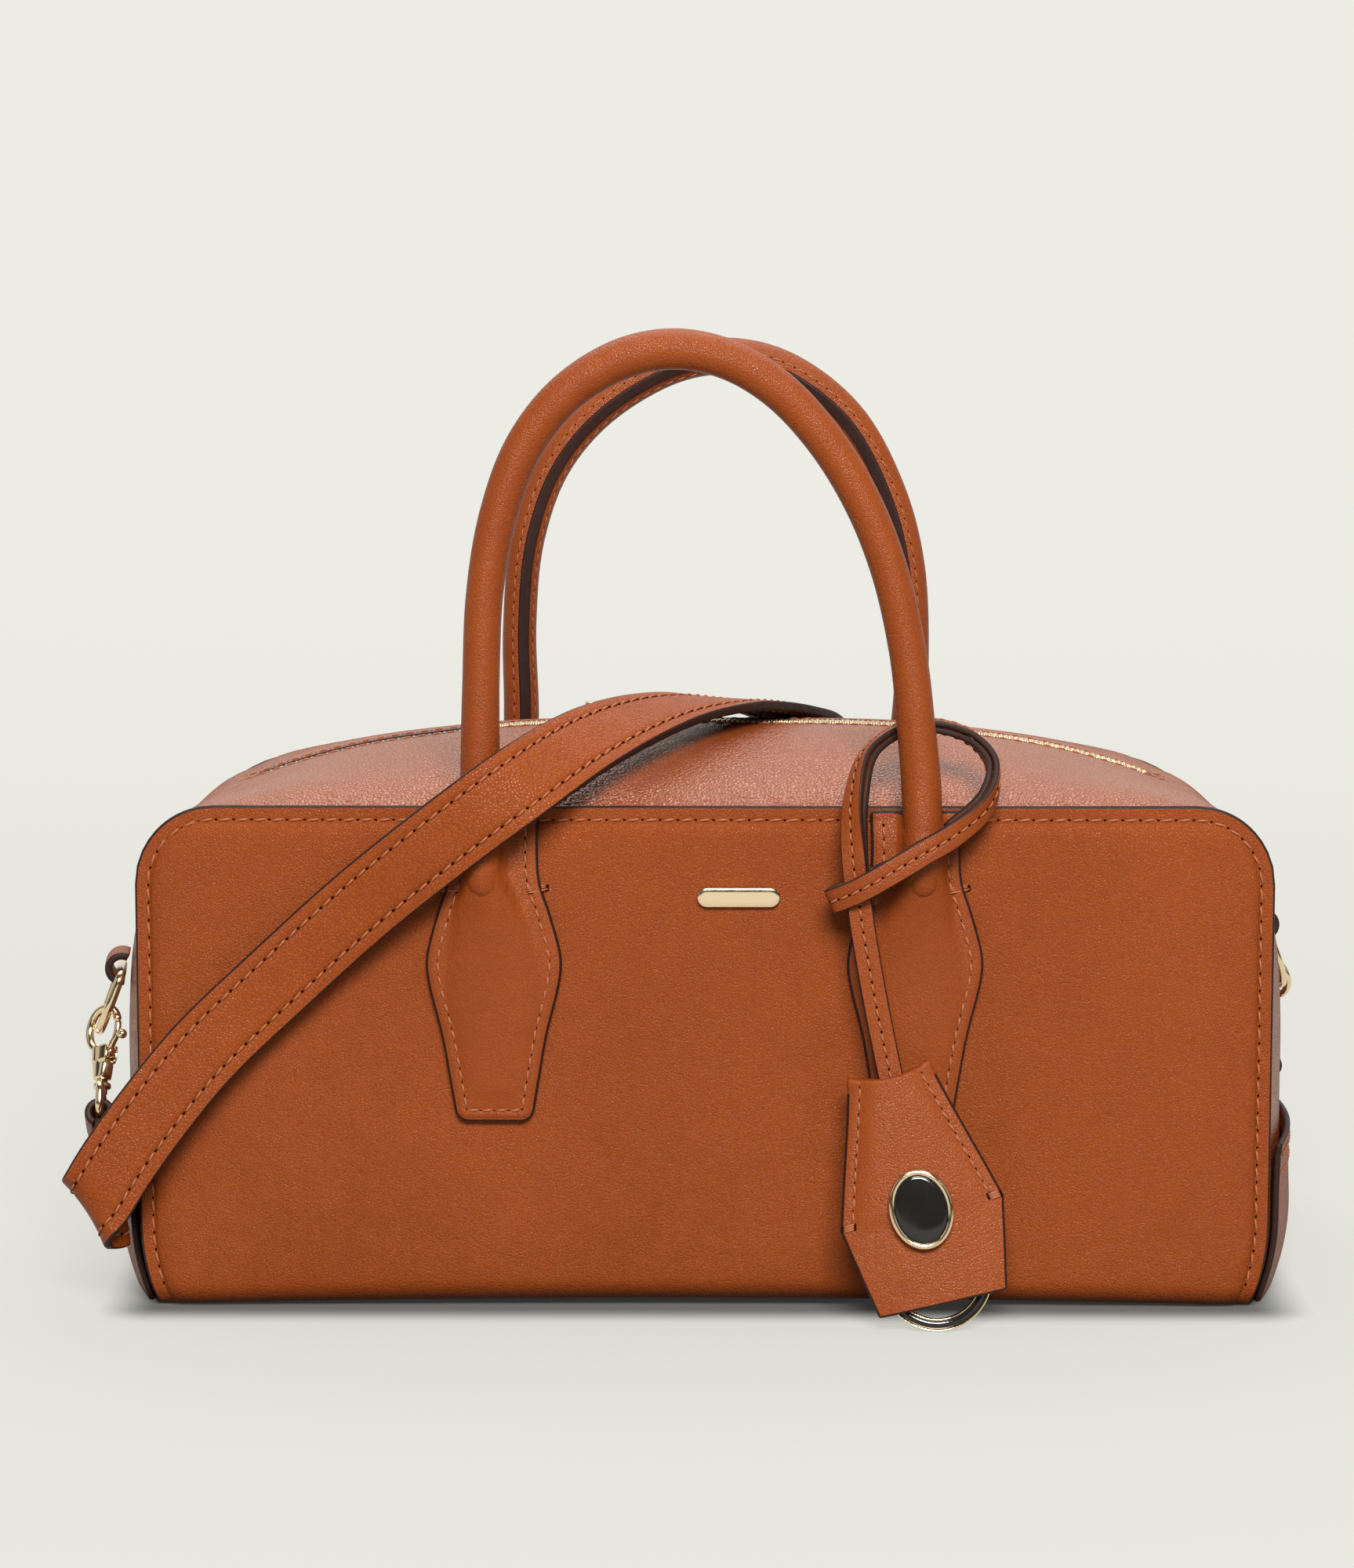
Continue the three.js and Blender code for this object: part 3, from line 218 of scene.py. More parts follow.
# Length down the bell, half its width, half the space between the leaves at their edges, then in the middle
BELL_OUTLINE = (
    (0, 10.7, 0.15, 2.9), (12, 14.1, 0.15, 2.9), (25, 18, 0.15, 2.9), (37.9, 21.7, 0.5, 2.5),
    (50, 19.4, 1.5, 1.6), (62, 17, 1.7, 1.5),
)
CHARM_RING = (55.0, 15.0, 3.6, 2.2)
EMBLEM = (36.5, 8.6, 10.8, 1.8)
FRONT_BAR = (9.2, 114.3, 22.5, 5.4, 1.6)

# Camera, from the photograph's perspective
CAMERA_PLACE = (0.0, -1172.0, 283.0)
CAMERA_YAW = -0.0067
CAMERA_PITCH = 0.124
CAMERA_LENS = 95.36

# Values that a user would change


class BagLeatherSettings(bpy.types.PropertyGroup):
    """Colours and grain of the leather, its painted edges and its thread"""

    tan: bpy.props.FloatVectorProperty(
        name="Leather", description="Colour of the tan leather", subtype="COLOR", size=3, min=0, max=1,
        default=(0.216, 0.0438, 0.0062))
    deep: bpy.props.FloatVectorProperty(
        name="Deep leather", description="Colour of the leather where the dye lies thicker", subtype="COLOR",
        size=3, min=0, max=1, default=(0.188, 0.0362, 0.005))
    edge: bpy.props.FloatVectorProperty(
        name="Edge paint", description="Colour of the paint on the cut edges", subtype="COLOR", size=3,
        min=0, max=1, default=(0.022, 0.0065, 0.0038))
    thread: bpy.props.FloatVectorProperty(
        name="Thread", description="Colour of the sewing thread", subtype="COLOR", size=3, min=0, max=1,
        default=(0.31, 0.088, 0.028))
    grain: bpy.props.FloatProperty(
        name="Grain size", description="Width of one pebble of the grain", subtype="DISTANCE", unit="LENGTH",
        default=0.0008, min=0.0002, max=0.005)


class BagSewingSettings(bpy.types.PropertyGroup):
    """Stitch lengths, in millimetres"""

    panel_pitch: bpy.props.FloatProperty(
        name="Panel stitch", description="Length of one stitch along the panel's edge, mm",
        default=4.8, min=1)
    tab_pitch: bpy.props.FloatProperty(
        name="Tab stitch", description="Length of one stitch on tabs and charm, mm", default=3.8, min=1)
    strap_pitch: bpy.props.FloatProperty(
        name="Strap stitch", description="Length of one stitch on the strap, mm", default=4.2, min=1)
    thread: bpy.props.FloatProperty(
        name="Thread", description="Radius of the thread, mm", default=0.31, min=0.05)


class BagMetalSettings(bpy.types.PropertyGroup):
    """Colours of the metal, the enamel and the zip's cloth"""

    gold: bpy.props.FloatVectorProperty(
        name="Gold", description="Colour of the plated metal", subtype="COLOR", size=3, min=0, max=1,
        default=(0.9, 0.71, 0.46))
    enamel: bpy.props.FloatVectorProperty(
        name="Enamel", description="Colour of the enamel", subtype="COLOR", size=3, min=0, max=1,
        default=(0.012, 0.01, 0.009))
    tape: bpy.props.FloatVectorProperty(
        name="Zip tape", description="Colour of the woven tape", subtype="COLOR", size=3, min=0, max=1,
        default=(0.035, 0.013, 0.007))


class BagStageSettings(bpy.types.PropertyGroup):
    """Floor and lights"""

    floor: bpy.props.FloatVectorProperty(
        name="Floor", description="Colour of the floor and backdrop", subtype="COLOR", size=3, min=0, max=1,
        default=(0.815, 0.815, 0.755))
    sky: bpy.props.FloatProperty(
        name="Fill", description="Strength of the even light from all round", default=0.05, min=0)
    top: bpy.props.FloatProperty(
        name="Top light", description="Power of the large light over the bag", unit="POWER",
        default=37, min=0)
    key: bpy.props.FloatProperty(
        name="Key light", description="Power of the large light above the front", unit="POWER",
        default=103, min=0)
    side: bpy.props.FloatProperty(
        name="Side lights", description="Power of each light at the side", unit="POWER", default=1.5, min=0)
    glow_near: bpy.props.FloatProperty(
        name="Glow near", description="Light that the floor gives off under the bag", default=0.7, min=0)
    glow_far: bpy.props.FloatProperty(
        name="Glow far", description="Light that the backdrop gives off far from the bag",
        default=0.94, min=0)


# Shapes as arrays


def smooth_table(table, at, column=1):
    """Value of a table's column at each place, by cubic pieces whose slope at a row is that of the line
    between the rows before and after it."""
    rows = np.asarray(table, float)
    keys, values = rows[:, 0], rows[:, column]
    low = np.maximum(np.arange(len(keys)) - 1, 0)
    high = np.minimum(np.arange(len(keys)) + 1, len(keys) - 1)
    slopes = (values[high] - values[low]) / (keys[high] - keys[low])
    at = np.clip(np.asarray(at, float), keys[0], keys[-1])
    i = np.clip(np.searchsorted(keys, at, side="right") - 1, 0, len(keys) - 2)
    span = keys[i + 1] - keys[i]
    t = (at - keys[i]) / span
    start = (2 * t ** 3 - 3 * t ** 2 + 1) * values[i] + (t ** 3 - 2 * t ** 2 + t) * span * slopes[i]
    end = (3 * t ** 2 - 2 * t ** 3) * values[i + 1] + (t ** 3 - t ** 2) * span * slopes[i + 1]
    return start + end


def smooth_step(low, high, value):
    """Rises from 0 at low to 1 at high with level ends."""
    t = np.clip((value - low) / (high - low), 0, 1)
    return t * t * (3 - 2 * t)


def unit(vectors):
    """The vectors at length 1."""
    return vectors / np.maximum(np.linalg.norm(vectors, axis=-1, keepdims=True), 1e-12)


def curve_through(points, steps):
    """A centripetal Catmull-Rom curve through the points: each span is the cubic whose end slopes come from
    the neighbours, weighted by the square roots of the distances between them."""
    p = np.asarray(points, float)
    p = np.vstack([2 * p[0] - p[1], p, 2 * p[-1] - p[-2]])
    d = np.linalg.norm(np.diff(p, axis=0), axis=1, keepdims=True) ** 0.5
    d0, d1, d2 = d[:-2], d[1:-1], d[2:]
    a, b, c, e = p[:-3], p[1:-2], p[2:-1], p[3:]
    m1 = ((b - a) / d0 - (c - a) / (d0 + d1) + (c - b) / d1) * d1
    m2 = ((c - b) / d1 - (e - b) / (d1 + d2) + (e - c) / d2) * d1
    t = (np.arange(steps) / steps)[None, :, None]
    b, c, m1, m2 = b[:, None], c[:, None], m1[:, None], m2[:, None]
    spans = b + m1 * t + (3 * (c - b) - 2 * m1 - m2) * t ** 2 + (2 * (b - c) + m1 + m2) * t ** 3
    return np.vstack([spans.reshape(-1, 3), p[-2:-1]])


def between_rows(values, steps):
    """The rows of a table with straight steps between them."""
    values = np.asarray(values, float)
    at = np.arange((len(values) - 1) * steps + 1) / steps
    low = np.minimum(at.astype(int), len(values) - 2)
    part = (at - low).reshape((-1,) + (1,) * (values.ndim - 1))
    return values[low] * (1 - part) + values[low + 1] * part


def along_path(points):
    """Length along a path at each of its points."""
    steps = np.linalg.norm(np.diff(points, axis=0), axis=1)
    return np.concatenate([[0.0], np.cumsum(steps)])


def at_lengths(lengths, values, wanted):
    """Rows of values at the wanted lengths along a path."""
    return np.stack([np.interp(wanted, lengths, values[:, k]) for k in range(values.shape[1])], axis=1)


def tangents_of(points, closed=False):
    """Direction of a path at each point, from the points before and after it."""
    if closed:
        return unit(np.roll(points, -1, axis=0) - np.roll(points, 1, axis=0))
    return unit(np.gradient(points, axis=0))


def grid_normals(grid):
    """Unit normals of a grid of points: the cross product of its two directions."""
    return unit(np.cross(np.gradient(grid, axis=0), np.gradient(grid, axis=1)))


def grid_faces(rows, columns, wrap_rows=False, wrap_columns=False):
    """Quads of a grid of points, closed on itself in either direction where asked."""
    i = np.arange(rows if wrap_rows else rows - 1)[:, None]
    j = np.arange(columns if wrap_columns else columns - 1)[None, :]
    down, beside = (i + 1) % rows, (j + 1) % columns
    corners = (i * columns + j, i * columns + beside, down * columns + beside, down * columns + j)
    return np.stack(np.broadcast_arrays(*corners), axis=-1).reshape(-1, 4)


def border_of(rows, columns):
    """Indices round a grid's border, and of the neighbour one step inside each."""
    r = np.concatenate([np.zeros(columns - 1), np.arange(rows - 1), np.full(columns - 1, rows - 1),
                        np.arange(rows - 1, 0, -1)]).astype(int)
    c = np.concatenate([np.arange(columns - 1), np.full(rows - 1, columns - 1), np.arange(columns - 1, 0, -1),
                        np.zeros(rows - 1)]).astype(int)
    inside = np.clip(r, 1, rows - 2) * columns + np.clip(c, 1, columns - 2)
    return r * columns + c, inside


RIM_STEPS = 4
RIM_BULGE = 0.32


def rim(outer, inner, loop, inside, first):
    """A rounded cut edge between the loops of two faces of a sheet: half an ellipse from one face to the
    other, standing out from the sheet. New points are numbered from first."""
    top, low = outer[loop], inner[loop]
    through = top - low
    thick = np.linalg.norm(through, axis=1, keepdims=True)
    out = unit(np.cross(tangents_of(top, closed=True), through))
    out *= -np.sign(np.sum(out * (outer[inside] - top), axis=1, keepdims=True))
    angles = np.pi * np.arange(1, RIM_STEPS) / RIM_STEPS
    middle = (top + low) / 2
    rows = [middle + through / 2 * np.cos(a) + out * thick * RIM_BULGE * np.sin(a) for a in angles]
    count = len(loop)
    between = first + np.arange((RIM_STEPS - 1) * count).reshape(-1, count)
    numbers = np.vstack([loop, between, loop + len(outer)])
    faces = numbers.ravel()[grid_faces(RIM_STEPS + 1, count, wrap_columns=True)]
    return np.vstack(rows), faces


def sheet(outer, inner, hole=None):
    """A leather sheet between two grids: both faces and a rounded rim round the border. The hole names the
    rows from and to which the cells of one column are cut out, and gets its own rim.
    Returns points, faces and a mark that is 1 on the rims."""
    rows, columns = outer.shape[:2]
    faces = grid_faces(rows, columns)
    if hole:
        column, start, stop = hole
        cut = faces[:, 0] % columns == column
        cut &= (faces[:, 0] // columns >= start) & (faces[:, 0] // columns < stop)
        faces = faces[~cut]
    flat_outer, flat_inner = outer.reshape(-1, 3), inner.reshape(-1, 3)
    count = len(flat_outer)
    loops = [border_of(rows, columns)]
    if hole:
        span = np.arange(start, stop + 1)
        loop = np.concatenate([span * columns + column, span[::-1] * columns + column + 1])
        loops.append((loop, np.concatenate([loop[:len(span)] - 1, loop[len(span):] + 1])))
    points = [flat_outer, flat_inner]
    kinds = [faces, faces[:, ::-1] + count]
    marks = [np.zeros(2 * len(faces), int)]
    first = 2 * count
    for loop, inside in loops:
        edge_points, edge_faces = rim(flat_outer, flat_inner, loop, inside, first)
        points.append(edge_points)
        kinds.append(edge_faces)
        marks.append(np.ones(len(edge_faces), int))
        first += len(edge_points)
    return np.vstack(points), [np.vstack(kinds)], np.concatenate(marks)


def skin(rings, closed=False):
    """Faces over rings of points. A closed skin joins its last ring to its first; an open one gets a cap at
    both ends."""
    count, around = rings.shape[:2]
    faces = [grid_faces(count, around, wrap_rows=closed, wrap_columns=True)]
    if not closed:
        last = (count - 1) * around
        faces.append(np.vstack([np.arange(around)[::-1], last + np.arange(around)]))
    return rings.reshape(-1, 3), faces


def carried(profile, centres, sides, normals, closed=False):
    """A profile of places (across, out) carried along a path: each ring is the path's point plus the places
    times its two directions. A profile may have one row of places for each ring. Open ends get a cap."""
    profile = np.broadcast_to(profile, (len(centres),) + profile.shape[-2:])
    rings = centres[:, None] + profile[..., :1] * sides[:, None] + profile[..., 1:] * normals[:, None]
    return skin(rings, closed)


def circle_profile(radii, sides):
    """Places on a circle, one ring for each radius."""
    angles = 2 * np.pi * (np.arange(sides) + 0.5) / sides
    ring = np.stack([np.cos(angles), np.sin(angles)], axis=-1)
    return np.asarray(radii, float).reshape(-1, 1, 1) * ring


def tube(points, radii, plane_normal, sides=20, closed=False):
    """A round tube along points near a plane: circles across the path, with the plane's normal as one
    axis."""
    ahead = tangents_of(points, closed)
    side = unit(np.cross(ahead, np.asarray(plane_normal, float)))
    normal = np.cross(side, ahead)
    radii = np.broadcast_to(np.asarray(radii, float), (len(points),))
    return carried(circle_profile(radii, sides), points, side, normal, closed)


def rounded_ends(points, radii, steps=4):
    """A path and its radii with a half ball added at both ends, as rings that shrink on a quarter circle."""
    turn = np.pi / 2 * np.arange(1, steps + 1) / (steps + 0.35)
    ahead = tangents_of(points)
    radii = np.broadcast_to(np.asarray(radii, float), (len(points),))
    first = points[0] - ahead[0] * radii[0] * np.sin(turn)[::-1, None]
    last = points[-1] + ahead[-1] * radii[-1] * np.sin(turn)[:, None]
    ends = (radii[0] * np.cos(turn)[::-1], radii[-1] * np.cos(turn))
    return np.vstack([first, points, last]), np.concatenate([ends[0], radii, ends[1]])


def turned(profile, sides=40):
    """A profile of places (radius, height) turned about Z: each place goes round a circle."""
    angles = 2 * np.pi * np.arange(sides) / sides
    r, z = np.asarray(profile, float).T
    height = np.broadcast_to(z[:, None], (len(z), sides))
    return np.stack([r[:, None] * np.cos(angles), r[:, None] * np.sin(angles), height], axis=-1)


# Flat straps: lines across half the width, how much an edge is rounded, how much the faces thin towards it,
# the width of the groove under the stitches, and the steps between two rows of a route
BAND_COLUMNS = np.array([0, 0.12, 0.24, 0.36, 0.48, 0.57, 0.62, 0.66, 0.72, 0.8, 0.88, 0.94, 0.98])
BAND_ROUND = 0.3
BAND_THINNING = 0.14
BAND_GROOVE_WIDTH = 0.55
BAND_STEPS = 10


def band_profile(width, thick, groove_inset=0.0, groove=0.0):
    """Places round a flat strap: two slightly crowned faces that thin towards the edges, with a shallow
    groove where it is sewn, and round painted edges. Also marks the steps that lie on an edge."""
    half = width / 2
    flat = half - thick * BAND_ROUND
    across = np.concatenate([-BAND_COLUMNS[:0:-1], BAND_COLUMNS]) * flat
    out = thick / 2 * (1 - BAND_THINNING * np.abs(across / half) ** 4)
    out = out - groove * np.exp(-((half - np.abs(across) - groove_inset) / BAND_GROOVE_WIDTH) ** 2)
    turn = np.pi * (np.arange(7) / 6 - 0.5)
    edge = out[-1]
    right = np.stack([flat + (half - flat) * np.cos(turn), -edge * np.sin(turn)], axis=-1)
    top = np.stack([across, out], axis=-1)
    ring = np.vstack([top, right[1:-1], -top, -right[1:-1]])
    count = len(ring)
    marks = np.zeros(count, int)
    marks[len(top) - 1:len(top) + 5] = 1
    marks[count // 2 + len(top) - 1:] = 1
    return ring, marks


def band_marks(marks, count):
    """Marks of the faces of a band with so many rings: the profile's own along it, and edge paint on both
    caps."""
    return np.concatenate([np.tile(marks, count - 1), np.ones(2, int)])


def band(route, across, width, thick, groove_inset, groove, shift=0.0):
    """A flat strap along a route with its width along the given directions. The groove is the depth on leather
    as thick as the strap; shift moves the middle line along the band's own normal. Returns the mesh, edge
    marks, and the middle line with its two directions and its thickness."""
    centres = curve_through(route, BAND_STEPS)
    ahead = tangents_of(centres)
    side = between_rows(across, BAND_STEPS)
    side = unit(side - np.sum(side * ahead, axis=1, keepdims=True) * ahead)
    normal = np.cross(ahead, side)
    thick = between_rows(np.broadcast_to(np.asarray(thick, float), (len(route),)), BAND_STEPS)
    shift = between_rows(np.broadcast_to(np.asarray(shift, float), (len(route),)), BAND_STEPS)
    centres = centres + normal * shift[:, None]
    ring, marks = band_profile(width, 1.0, groove_inset, groove / STRAP_THICK)
    places = np.broadcast_to(ring[:, 0], (len(centres), len(ring)))
    profile = np.stack([places, ring[:, 1] * thick[:, None]], axis=-1)
    points, faces = carried(profile, centres, side, normal)
    return points, faces, band_marks(marks, len(centres)), centres, side, normal, thick


# Bag body as surfaces


def panel_half_width(z):
    """Half the width of the front and back panels at a height: a circle's arc at the top corners, and a
    small tuck near the floor."""
    corner = TOP_HALF + np.sqrt(np.maximum(TOP_CORNER ** 2 - (z - SHOULDER) ** 2, 0))
    tucked = PANEL_WIDTH / 2 - TUCK * np.clip(1 - z / TUCK_HEIGHT, 0, 1) ** 2
    return np.where(z > SHOULDER, corner, tucked)


def edge_distance(x, z):
    """Distance from a place on a panel to its outline, which has round top corners."""
    x = np.abs(x)
    straight = np.minimum(panel_half_width(np.minimum(z, SHOULDER)) - x, PANEL_HEIGHT - z)
    corner = TOP_CORNER - np.hypot(x - TOP_HALF, z - SHOULDER)
    return np.where((x > TOP_HALF) & (z > SHOULDER), corner, straight)


# Inset of the stitches along a panel's edge, depth and width of the groove that they pull, and where the roll
# inside them starts
PANEL_INSET = 3.1
PANEL_GROOVE = 0.14
PANEL_GROOVE_WIDTH = 0.45
ROLL_START = 3.65


def panel_swell(x, z):
    """How far a panel stands out past its edge: a flat sewn border, a quarter-round roll inside the stitches,
    a low billow that falls away to the fourth power, and slow waves of the leather."""
    share = np.clip(x / np.maximum(panel_half_width(z), 1), -1, 1)
    rise = (1 - share ** 4) * (1 - np.clip(2 * z / PANEL_HEIGHT - 1, -1, 1) ** 4)
    inset = edge_distance(x, z)
    roll = ROLL_STEP * np.sqrt(1 - (1 - np.clip((inset - ROLL_START) / ROLL_RUN, 0, 1)) ** 2)
    groove = PANEL_GROOVE * np.exp(-((inset - PANEL_INSET) / PANEL_GROOVE_WIDTH) ** 2)
    waves = 0.3 * np.sin(x / 31 + 0.8) * np.sin(z / 23 + x / 90) + 0.16 * np.sin(x / 13 - z / 17)
    return BILLOW * rise + roll - groove + waves * smooth_step(4, 30, inset) * smooth_step(0, 18, z)


def face_depth(x, z):
    """Depth of the outer face of a panel."""
    return HALF_DEPTH + panel_swell(x, z)


def crown(along):
    """How far the gusset stands out at mid-depth, by the length along the outline."""
    return smooth_table(GUSSET_CROWN, along)


def across_bulge(share):
    """Share of the crown that is left at a share of the half depth."""
    return np.maximum(1 - np.abs(share) ** BULGE_POWER, 0)


def slump(points):
    """Rounds the top corners of the back panel. A point near one moves towards the middle of the rounder
    corner by the share that takes the panel's own outline to that corner's circle; none beside the zip, all
    at the back."""
    x, y, z = np.moveaxis(np.asarray(points, float), -1, 0)
    corner_x, corner_z = PANEL_WIDTH / 2 - BACK_CORNER, PANEL_HEIGHT - BACK_CORNER
    out, up = np.maximum(np.abs(x) - corner_x, 1e-6), np.maximum(z - corner_z, 1e-6)
    length = np.hypot(out, up)
    inset = BACK_CORNER - TOP_CORNER
    diagonal = inset * (out + up) / length
    far, near = np.maximum(out, up), np.minimum(out, up)
    arc_edge = diagonal + np.sqrt(diagonal ** 2 - 2 * inset ** 2 + TOP_CORNER ** 2)
    edge = np.where(near / far > inset / BACK_CORNER, arc_edge, BACK_CORNER * length / far)
    shrink = 1 + (BACK_CORNER / edge - 1) * smooth_step(SLUMP_START, HALF_DEPTH, y)
    inside = (np.abs(x) > corner_x) & (z > corner_z)
    moved_x = np.where(inside, np.sign(x) * (corner_x + out * shrink), x)
    return np.stack([moved_x, y, np.where(inside, corner_z + up * shrink, z)], axis=-1)


# Distances from the panel's edge at which its grid has a line, close together at the seam
PANEL_COLUMNS = (0, 0.4, 0.9, 1.6, 2.3, 2.7, 3.1, 3.4, 3.65, 3.8, 4.1, 4.7, 5.6, 7, 9.2, 12, 16, 22, 30, 40,
                 52, 66, 82, 100, 120, 140)


def wrap_surface():
    """The one sheet of front, base and back: places (y, z) along its profile, times places across its width.
    The width follows the panel's outline, and the base widens under the gusset."""
    inset = np.array(PANEL_COLUMNS)
    top = PANEL_HEIGHT - inset[inset < TOP_CORNER]
    face = np.linspace(SHOULDER, BASE_CORNER, 34)
    roll = np.radians(np.linspace(0, 90, 9))[1:]
    z = np.concatenate([top, face, BASE_CORNER * (1 - np.sin(roll)), np.zeros(4)])
    y = np.concatenate([np.full(len(top) + len(face), HALF_DEPTH),
                        HALF_DEPTH - BASE_CORNER * (1 - np.cos(roll)), [FLAT_BASE, 30, 16, 5]])
    y, z = np.concatenate([-y, y[::-1]])[:, None], np.concatenate([z, z[::-1]])[:, None]
    half = panel_half_width(z)
    depth = np.abs(y)
    end = np.where(z < BASE_CORNER, crown(0) * across_bulge(np.minimum(depth / INNER_DEPTH, 1)), 0)
    whole = half + end
    right = whole - inset * whole / (PANEL_WIDTH / 2)
    x = np.concatenate([-right, np.zeros_like(whole), right[:, ::-1]], axis=1)
    share = x / whole
    on_face = np.clip((depth - HALF_DEPTH + BASE_CORNER) / BASE_CORNER, 0, 1)
    near_edge = np.clip((depth - FLAT_BASE) / (HALF_DEPTH - FLAT_BASE), 0, 1)
    near_floor = np.clip(1 - z / LIFT_FADE, 0, 1)
    lift = EDGE_LIFT * np.maximum(1 - (share / LIFT_SPAN) ** 2, 0) * (near_edge * near_floor)
    flat = np.broadcast_to(y, x.shape) + np.sign(y) * panel_swell(share * half, z) * on_face
    return slump(np.stack([x, flat, z + lift], axis=-1))


def gusset_surface(side, along, share, lift=0.0):
    """A point of the gusset's outer face: the panel's outline at that length, moved out by the crown times
    the bulge across the depth. side is -1 or 1."""
    along, share = np.broadcast_arrays(np.asarray(along, float), np.asarray(share, float))
    out = crown(along) * across_bulge(share) - EDGE_PROUD * np.abs(share) ** 6 + lift
    y = share * INNER_DEPTH
    seat_rise = BASE_CORNER - LEATHER - GAP
    past = np.clip(np.abs(y) - HALF_DEPTH + BASE_CORNER, 0, seat_rise)
    seat = BASE_CORNER - np.sqrt(seat_rise ** 2 - past ** 2)
    z_side = seat + np.clip(along / SHOULDER, 0, 1) * (SHOULDER - seat)
    angle = np.clip((along - SHOULDER) / TOP_CORNER, 0, np.pi / 2)
    run = np.maximum(along - SHOULDER - CORNER_LENGTH, 0)
    low = along <= SHOULDER
    x = np.where(low, panel_half_width(z_side) + out, TOP_HALF - run + (TOP_CORNER + out) * np.cos(angle))
    z = np.where(low, z_side, SHOULDER + (TOP_CORNER + out) * np.sin(angle))
    return slump(np.stack([side * x, y, z], axis=-1))


FULLNESS = 3.6


def gusset_dress(along, share):
    """Small moves of the gusset's face: thinned towards the zip, full beside the panels' seams along the top,
    where it drops in steeply, and slow waves where the sides are pushed in."""
    y = np.abs(share) * INNER_DEPTH
    over = smooth_step(ZIP_START - SKIVE_LEAD, ZIP_START + 4, along)
    skive = -SKIVE_DROP * over * (1 - smooth_step(SLIT_HALF, SLIT_HALF + SKIVE_RUN, y))
    pinch = 1 - smooth_step(0.55, 0.9, np.abs(share))
    waves = 0.55 * np.sin(along / 9.5 + share * 2.2) * np.exp(-((along - 132) / 26) ** 2)
    slow = 0.3 * np.sin(along / 27 + share * 3.1) * smooth_step(SLIT_HALF + 1, 18, y)
    full = FULLNESS * share ** 2 * (1 - np.abs(share) ** 10)
    full = full * smooth_step(SHOULDER + 16, ZIP_START + 20, along)
    return skive + pinch * (waves + slow) + full


def gusset_rows():
    """Lengths along the outline, from the floor to the middle of the top."""
    return np.concatenate([np.linspace(0, SHOULDER, 36)[:-1],
                           np.linspace(SHOULDER, ZIP_START, 14)[:-1],
                           np.linspace(ZIP_START, OUTLINE_LENGTH, 42)])


SLIT_SHARE = SLIT_HALF / INNER_DEPTH
# Shares of the half depth at which the gusset's grid has a line, from the seam to the slit
GUSSET_COLUMNS = (1, 0.992, 0.975, 0.95, 0.91, 0.86, 0.79, 0.71, 0.62, 0.53, 0.44, 0.35, 0.27, 0.2, 0.16,
                  0.13, 0.11, 0.09, 0.076)


def over_top(rows, shares, lift):
    """A strip over the top, from the floor at the left to the floor at the right."""
    along, share = np.meshgrid(rows, shares, indexing="ij")
    lift = lift(along, share)
    left = gusset_surface(-1, along, share, lift)
    right = gusset_surface(1, along, share, lift)
    return np.concatenate([left, right[-2::-1]])


def gusset_mesh():
    """The band up one side, over the top and down the other, cut open along the zip."""
    front = -np.array([*GUSSET_COLUMNS, SLIT_SHARE])
    shares = np.concatenate([front, -front[::-1]])
    rows = gusset_rows()

    def inside(along, share):
        near_zip = 1 - smooth_step(SLIT_HALF, SLIT_HALF + SKIVE_RUN, np.abs(share) * INNER_DEPTH)
        thinner = SKIVE_INSIDE * near_zip * smooth_step(ZIP_START - SKIVE_LEAD, ZIP_START, along)
        return gusset_dress(along, share) - LEATHER + thinner

    outer = over_top(rows, shares, gusset_dress)
    inner = over_top(rows, shares, inside)
    start = int(np.argmax(rows >= ZIP_START - 1e-6))
    stop = 2 * (len(rows) - 1) - start
    return sheet(outer, inner, hole=(len(front) - 1, start, stop))


def end_panel_out(z, share, lift):
    """How far an overlay stands out from the panel's outline: the gusset's crown moved out, with a lip that
    rolls out along the top."""
    flare = (z / END_PANEL_TOP) ** 6
    return crown(z) * across_bulge(share) + END_PANEL_CLEAR + lift + flare


def end_panel_mesh(side):
    """Overlay on the lower part of one side, with a groove along its upper row of stitches."""
    z = np.concatenate([np.linspace(END_PANEL_BOTTOM, END_PANEL_TOP - 5, 18), END_PANEL_TOP - np.array(
        [4, 3.2, 2.4, 1.7, 1.1, 0.6, 0.25, 0])])
    share = np.linspace(-END_PANEL_REACH, END_PANEL_REACH, 46)
    share = np.concatenate([[-END_PANEL_REACH, -END_PANEL_REACH + 0.006], share[1:-1],
                            [END_PANEL_REACH - 0.006, END_PANEL_REACH]])
    z, share = np.meshgrid(z, share, indexing="ij")

    def face(lift):
        groove = 0.2 * np.exp(-((END_PANEL_TOP - z - END_PANEL_ROWS[0]) / 0.7) ** 2)
        out = end_panel_out(z, share, lift) - groove
        return np.stack([side * (panel_half_width(z) + out), share * INNER_DEPTH, z], axis=-1)

    return sheet(face(END_PANEL_THICK), face(0))


# Stitches

STITCH_RINGS = 6
STITCH_SIDES = 6


